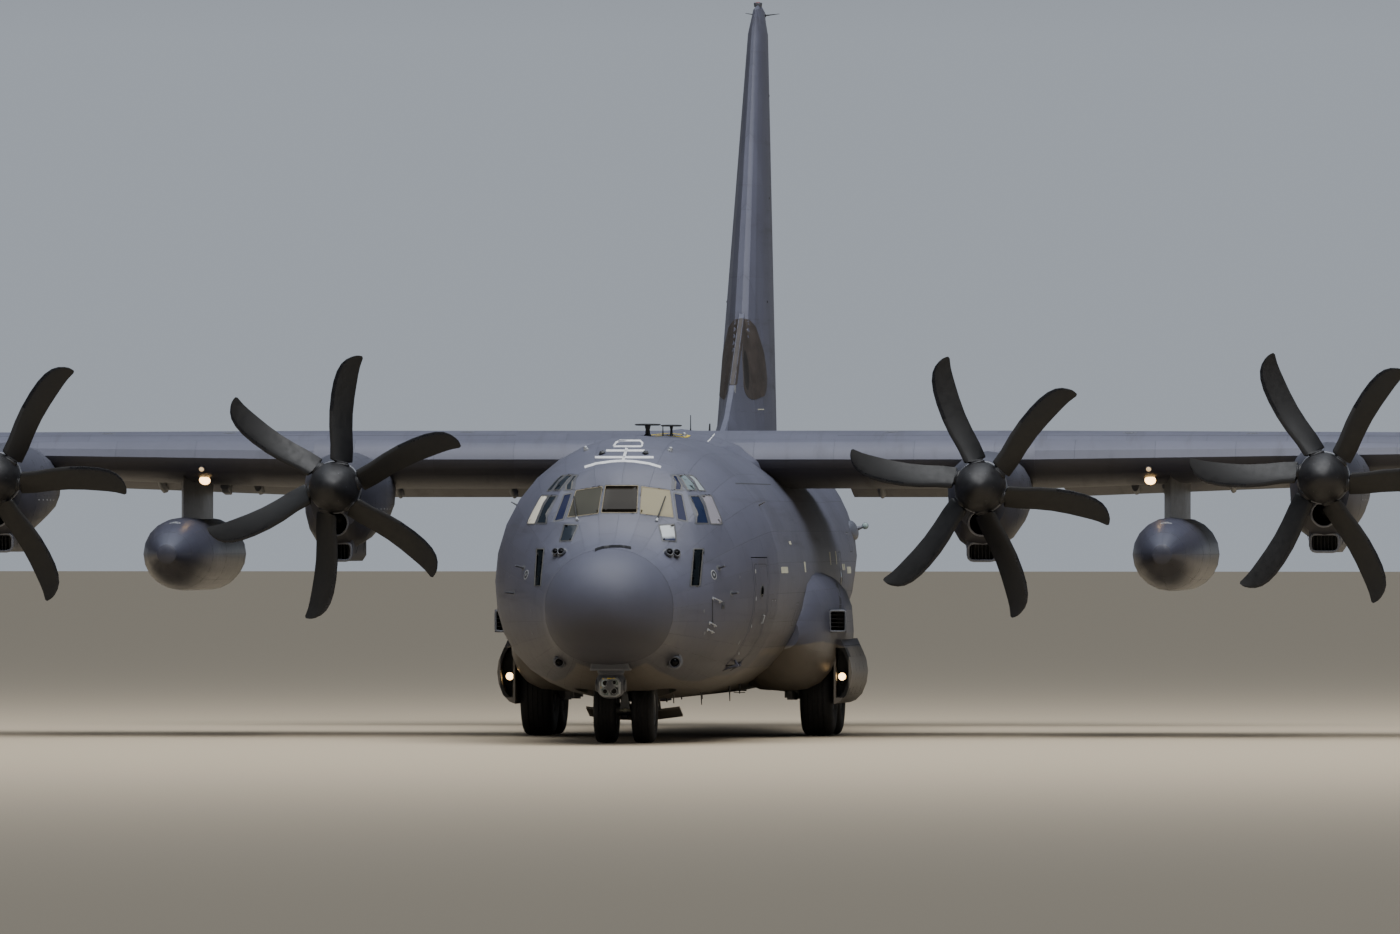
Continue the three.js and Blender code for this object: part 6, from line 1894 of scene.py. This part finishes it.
def make_seat(side, word):
    node = f"seat_{word}"
    x = side * SEAT_X
    shell, straps, trims, buckle = builds(4)
    shell.block(at(x, 3670, 2585), (0.232, 0.235, 0.016), bevel=0.3)
    shell.block(at(x, 3968, 2930), (0.236, 0.014, 0.39), bevel=0.3)
    shell.block(at(x, 3950, 3400), (0.12, 0.012, 0.12), bevel=0.3)
    shell.turned([(0.03, 0), (0.034, 0.01), (0.026, 0.03), (0.024, 0.2), (0.04, 0.226)], at(x, 3650, 2136), ABOVE)
    shell.block(at(x, 3650, 2150), (0.18, 0.2, 0.012), bevel=0.3)
    for out, _ in SIDES:
        for build, path, radius, sides in (
            (shell, ARMREST, 0.011, 10), (shell, ARMREST_STAY, 0.007, 8),
            (straps, SHOULDER_STRAP, 0.005, 6), (straps, LAP_STRAP, 0.0055, 6),
        ):
            build.tube([at(x + out * dx, y, z) for dx, y, z in path], radius, sides)
    buckle.turned([(0.02, -0.004), (0.021, 0.004), (0.014, 0.009), (0, 0.01)], at(x, 3735, 2732), (0, -0.4, 1), 18)
    frame = shell.piece(f"{node}_frame", FRAME_PAINT, replaces=(node,))
    for part, y, z, size, axes, crown, channels in CUSHIONS:
        soft, centre = Build(), at(x, y, z)
        cushion(soft, centre, size, axes, crown, channels)
        piping(trims, centre, (size[0] * 0.985, size[1] * 0.985), axes)
        made = soft.piece(f"{node}_{part}", SEAT_CLOTH, 60)
    trims.piece(f"{node}_piping", SEAT_TRIM, 50)
    straps.piece(f"{node}_harness", STRAP_TAN, 50)
    buckle.piece(f"{node}_buckle", BOLT_STEEL, 40)


def make_flight_deck():
    """Displays with their knobs, control columns, pedals and the levers and keys between the seats"""
    displays, bezels, yokes, knobs = builds(4)
    top, foot = at(0, 2960, 3340), at(0, 2860, 2900)
    up = (top - foot).normalized()
    face = ASIDE.cross(up).normalized()
    if face.y < 0:
        face = -face
    axes = (ASIDE, up, face)
    for x in (-780, -420, 0, 420, 780):
        centre = top.lerp(foot, 0.5) + ASIDE * (x * MM) + face * 0.002
        bezels.block(centre, (0.125, 0.15, 0.008), axes, 0.3)
        displays.block(centre + face * 0.004, (0.105, 0.128, 0.004), axes, 0.2)
        for k in range(6):
            place = centre + ASIDE * ((k - 2.5) * 0.017) - up * 0.07 + face * 0.004
            knobs.block(place, (0.009, 0.006, 0.006), axes, 0.3)
    handle = ((-150, 2960), (-160, 2860), (-60, 2820), (60, 2820), (160, 2860), (150, 2960))
    for side, _ in SIDES:
        x = side * SEAT_X
        yokes.tube([at(x, 3080, 2136), at(x, 3090, 2500), at(x, 3120, 2830)], [0.014, 0.012, 0.011], 12)
        yokes.tube([at(x + dx, 3120, z) for dx, z in handle], 0.0095, 10)
        for out, _ in SIDES:
            yokes.block(at(x + out * 120, 2900, 2210), (0.05, 0.012, 0.07), bevel=0.3)
    for x in range(-90, 91, 60):
        knobs.tube([at(x, 3050, 2755), at(x, 3010, 2860)], 0.0045)
        knobs.turned([(0.009, -0.006), (0.011, 0), (0.009, 0.006), (0, 0.008)], at(x, 3006, 2868), ABOVE, 14)
    for x in range(-150, 151, 50):
        knobs.block(at(x, 3350, 2762), (0.016, 0.05, 0.008), bevel=0.3)
    displays.piece("deck_displays", LENS_BLACK, 25)
    bezels.piece("deck_bezels", FRAME_PAINT, 30)
    yokes.piece("deck_controls", SENSOR_BLACK, 45)
    knobs.piece("deck_levers", PIVOT_GREY, 40)


# Hold
def make_hold():
    """Rails with rollers and tie-down rings on the floor, treads on the ramp and ribs on the cargo door"""
    rails, rollers, rings, treads, ribs = builds(5)
    for x in (-1080, -420, 420, 1080):
        for dx in (-46, 46):
            rails.block(at(x + dx, 12000, 1046), (0.006, 6.0, 0.012), bevel=0.2)
        for y in range(6080, 17793, 192):
            rollers.tube([at(x - 40, y, 1046), at(x + 40, y, 1046)], 0.008)
    ring = [(0.03, -0.002), (0.03, 0.0015), (0.024, 0.003), (0.018, 0.0012), (0, 0.0012)]
    for x in (-750, 0, 750):
        for y in range(6600, 17601, 1000):
            rings.turned(ring, at(x, y, 1040), ABOVE, 16)
    slope = Skin("ramp").above()
    for x in (-900, 0, 900):
        run = [(x, y) for y in range(18500, 21200, 150) if slope(x, y)]
        treads.strip([run[0], run[-1]], 60, slope, 0.004, 0.002, step=300)
    for y in range(18700, 21100, 300):
        if all(slope(x, y) for x in (-1300, -650, 0, 650, 1300)):
            treads.strip([(-1300, y), (1300, y)], 26, slope, 0.0025, 0.002, step=325)
    roof = Skin("cargo_door").above()
    for y in range(21700, 25300, 400):
        run = [x for x in range(-1400, 1401, 50) if roof(x, y)]
        if run and run[-1] - run[0] > 300 and all(roof(x, y) for x in range(run[0] + 60, run[-1] - 60, 40)):
            ribs.strip([(run[0] + 60, y), (run[-1] - 60, y)], 44, roof, 0.008, 0.002, step=120)
    rails.piece("floor_rails", RIM_PAINT, 30)
    rollers.piece("floor_rollers", BOLT_STEEL, 45)
    rings.piece("tie_down_rings", PIVOT_GREY, 40)
    treads.piece("ramp_treads", RIM_PAINT, 30, "ramp")
    ribs.piece("cargo_door_ribs", INTERIOR, 30, "cargo_door")


for side, word in SIDES:
    make_seat(side, word)
make_flight_deck()
make_hold()


# Floor, light and sky
FLOOR_REACH = 600


def make_floor():
    floor = Shader("floor", Roughness=0.9)
    floor.out("Base Color", linear(0xB3A48C))
    mesh = bpy.data.meshes.new("floor")
    corners = [(x * FLOOR_REACH, y * FLOOR_REACH, 0) for x, y in ((-1, -1), (1, -1), (1, 1), (-1, 1))]
    mesh.from_pydata(corners, [], [(0, 1, 2, 3)])
    mesh.materials.append(floor.material)
    made = bpy.data.objects.new("floor", mesh)
    bpy.context.scene.collection.objects.link(made)


def area_light(name, place, aim, size, watts):
    data = bpy.data.lights.new(name, "AREA")
    data.shape = "RECTANGLE"
    data.size, data.size_y = size
    data.energy = watts
    light = bpy.data.objects.new(name, data)
    bpy.context.scene.collection.objects.link(light)
    light.location = place
    light.rotation_mode = "QUATERNION"
    light.rotation_quaternion = (Vector(aim) - Vector(place)).to_track_quat("-Z", "Y")


# The studio's dome, as (height of the direction, brightness): pale behind the plane, dim sides, bright above
DOME = [(-1.0, 0.66), (0.03, 0.66), (0.08, 0.09), (0.45, 0.13), (0.8, 1.15), (1.0, 1.6)]


def make_dome():
    world = bpy.data.worlds.new("studio")
    bpy.context.scene.world = world
    world.use_nodes = True
    tree = world.node_tree
    background = tree.nodes["Background"]
    background.inputs["Color"].default_value = linear(0xC3CBD6)
    direction = tree.nodes.new("ShaderNodeTexCoord").outputs["Generated"]
    height = tree.nodes.new("ShaderNodeSeparateXYZ")
    tree.links.new(direction, height.inputs[0])
    strength = None
    for (low, before), (high, after) in zip(DOME, DOME[1:]):
        step = tree.nodes.new("ShaderNodeMapRange")
        step.inputs["From Min"].default_value = low
        step.inputs["From Max"].default_value = high
        step.inputs["To Min"].default_value = before if strength is None else 0.0
        step.inputs["To Max"].default_value = after if strength is None else after - before
        tree.links.new(height.outputs["Z"], step.inputs["Value"])
        if strength is not None:
            both = tree.nodes.new("ShaderNodeMath")
            tree.links.new(strength, both.inputs[0])
            tree.links.new(step.outputs["Result"], both.inputs[1])
            strength = both.outputs[0]
        else:
            strength = step.outputs["Result"]
    tree.links.new(strength, background.inputs["Strength"])


make_floor()
make_dome()
area_light("top", (2, -6, 26), (0, 0, 1), (34, 28), 8800)
area_light("key", (14, -24, 27), (0, 0, 2), (16, 12), 3600)
area_light("fill", (-24, -18, 12), (0, 0, 2), (14, 10), 160)
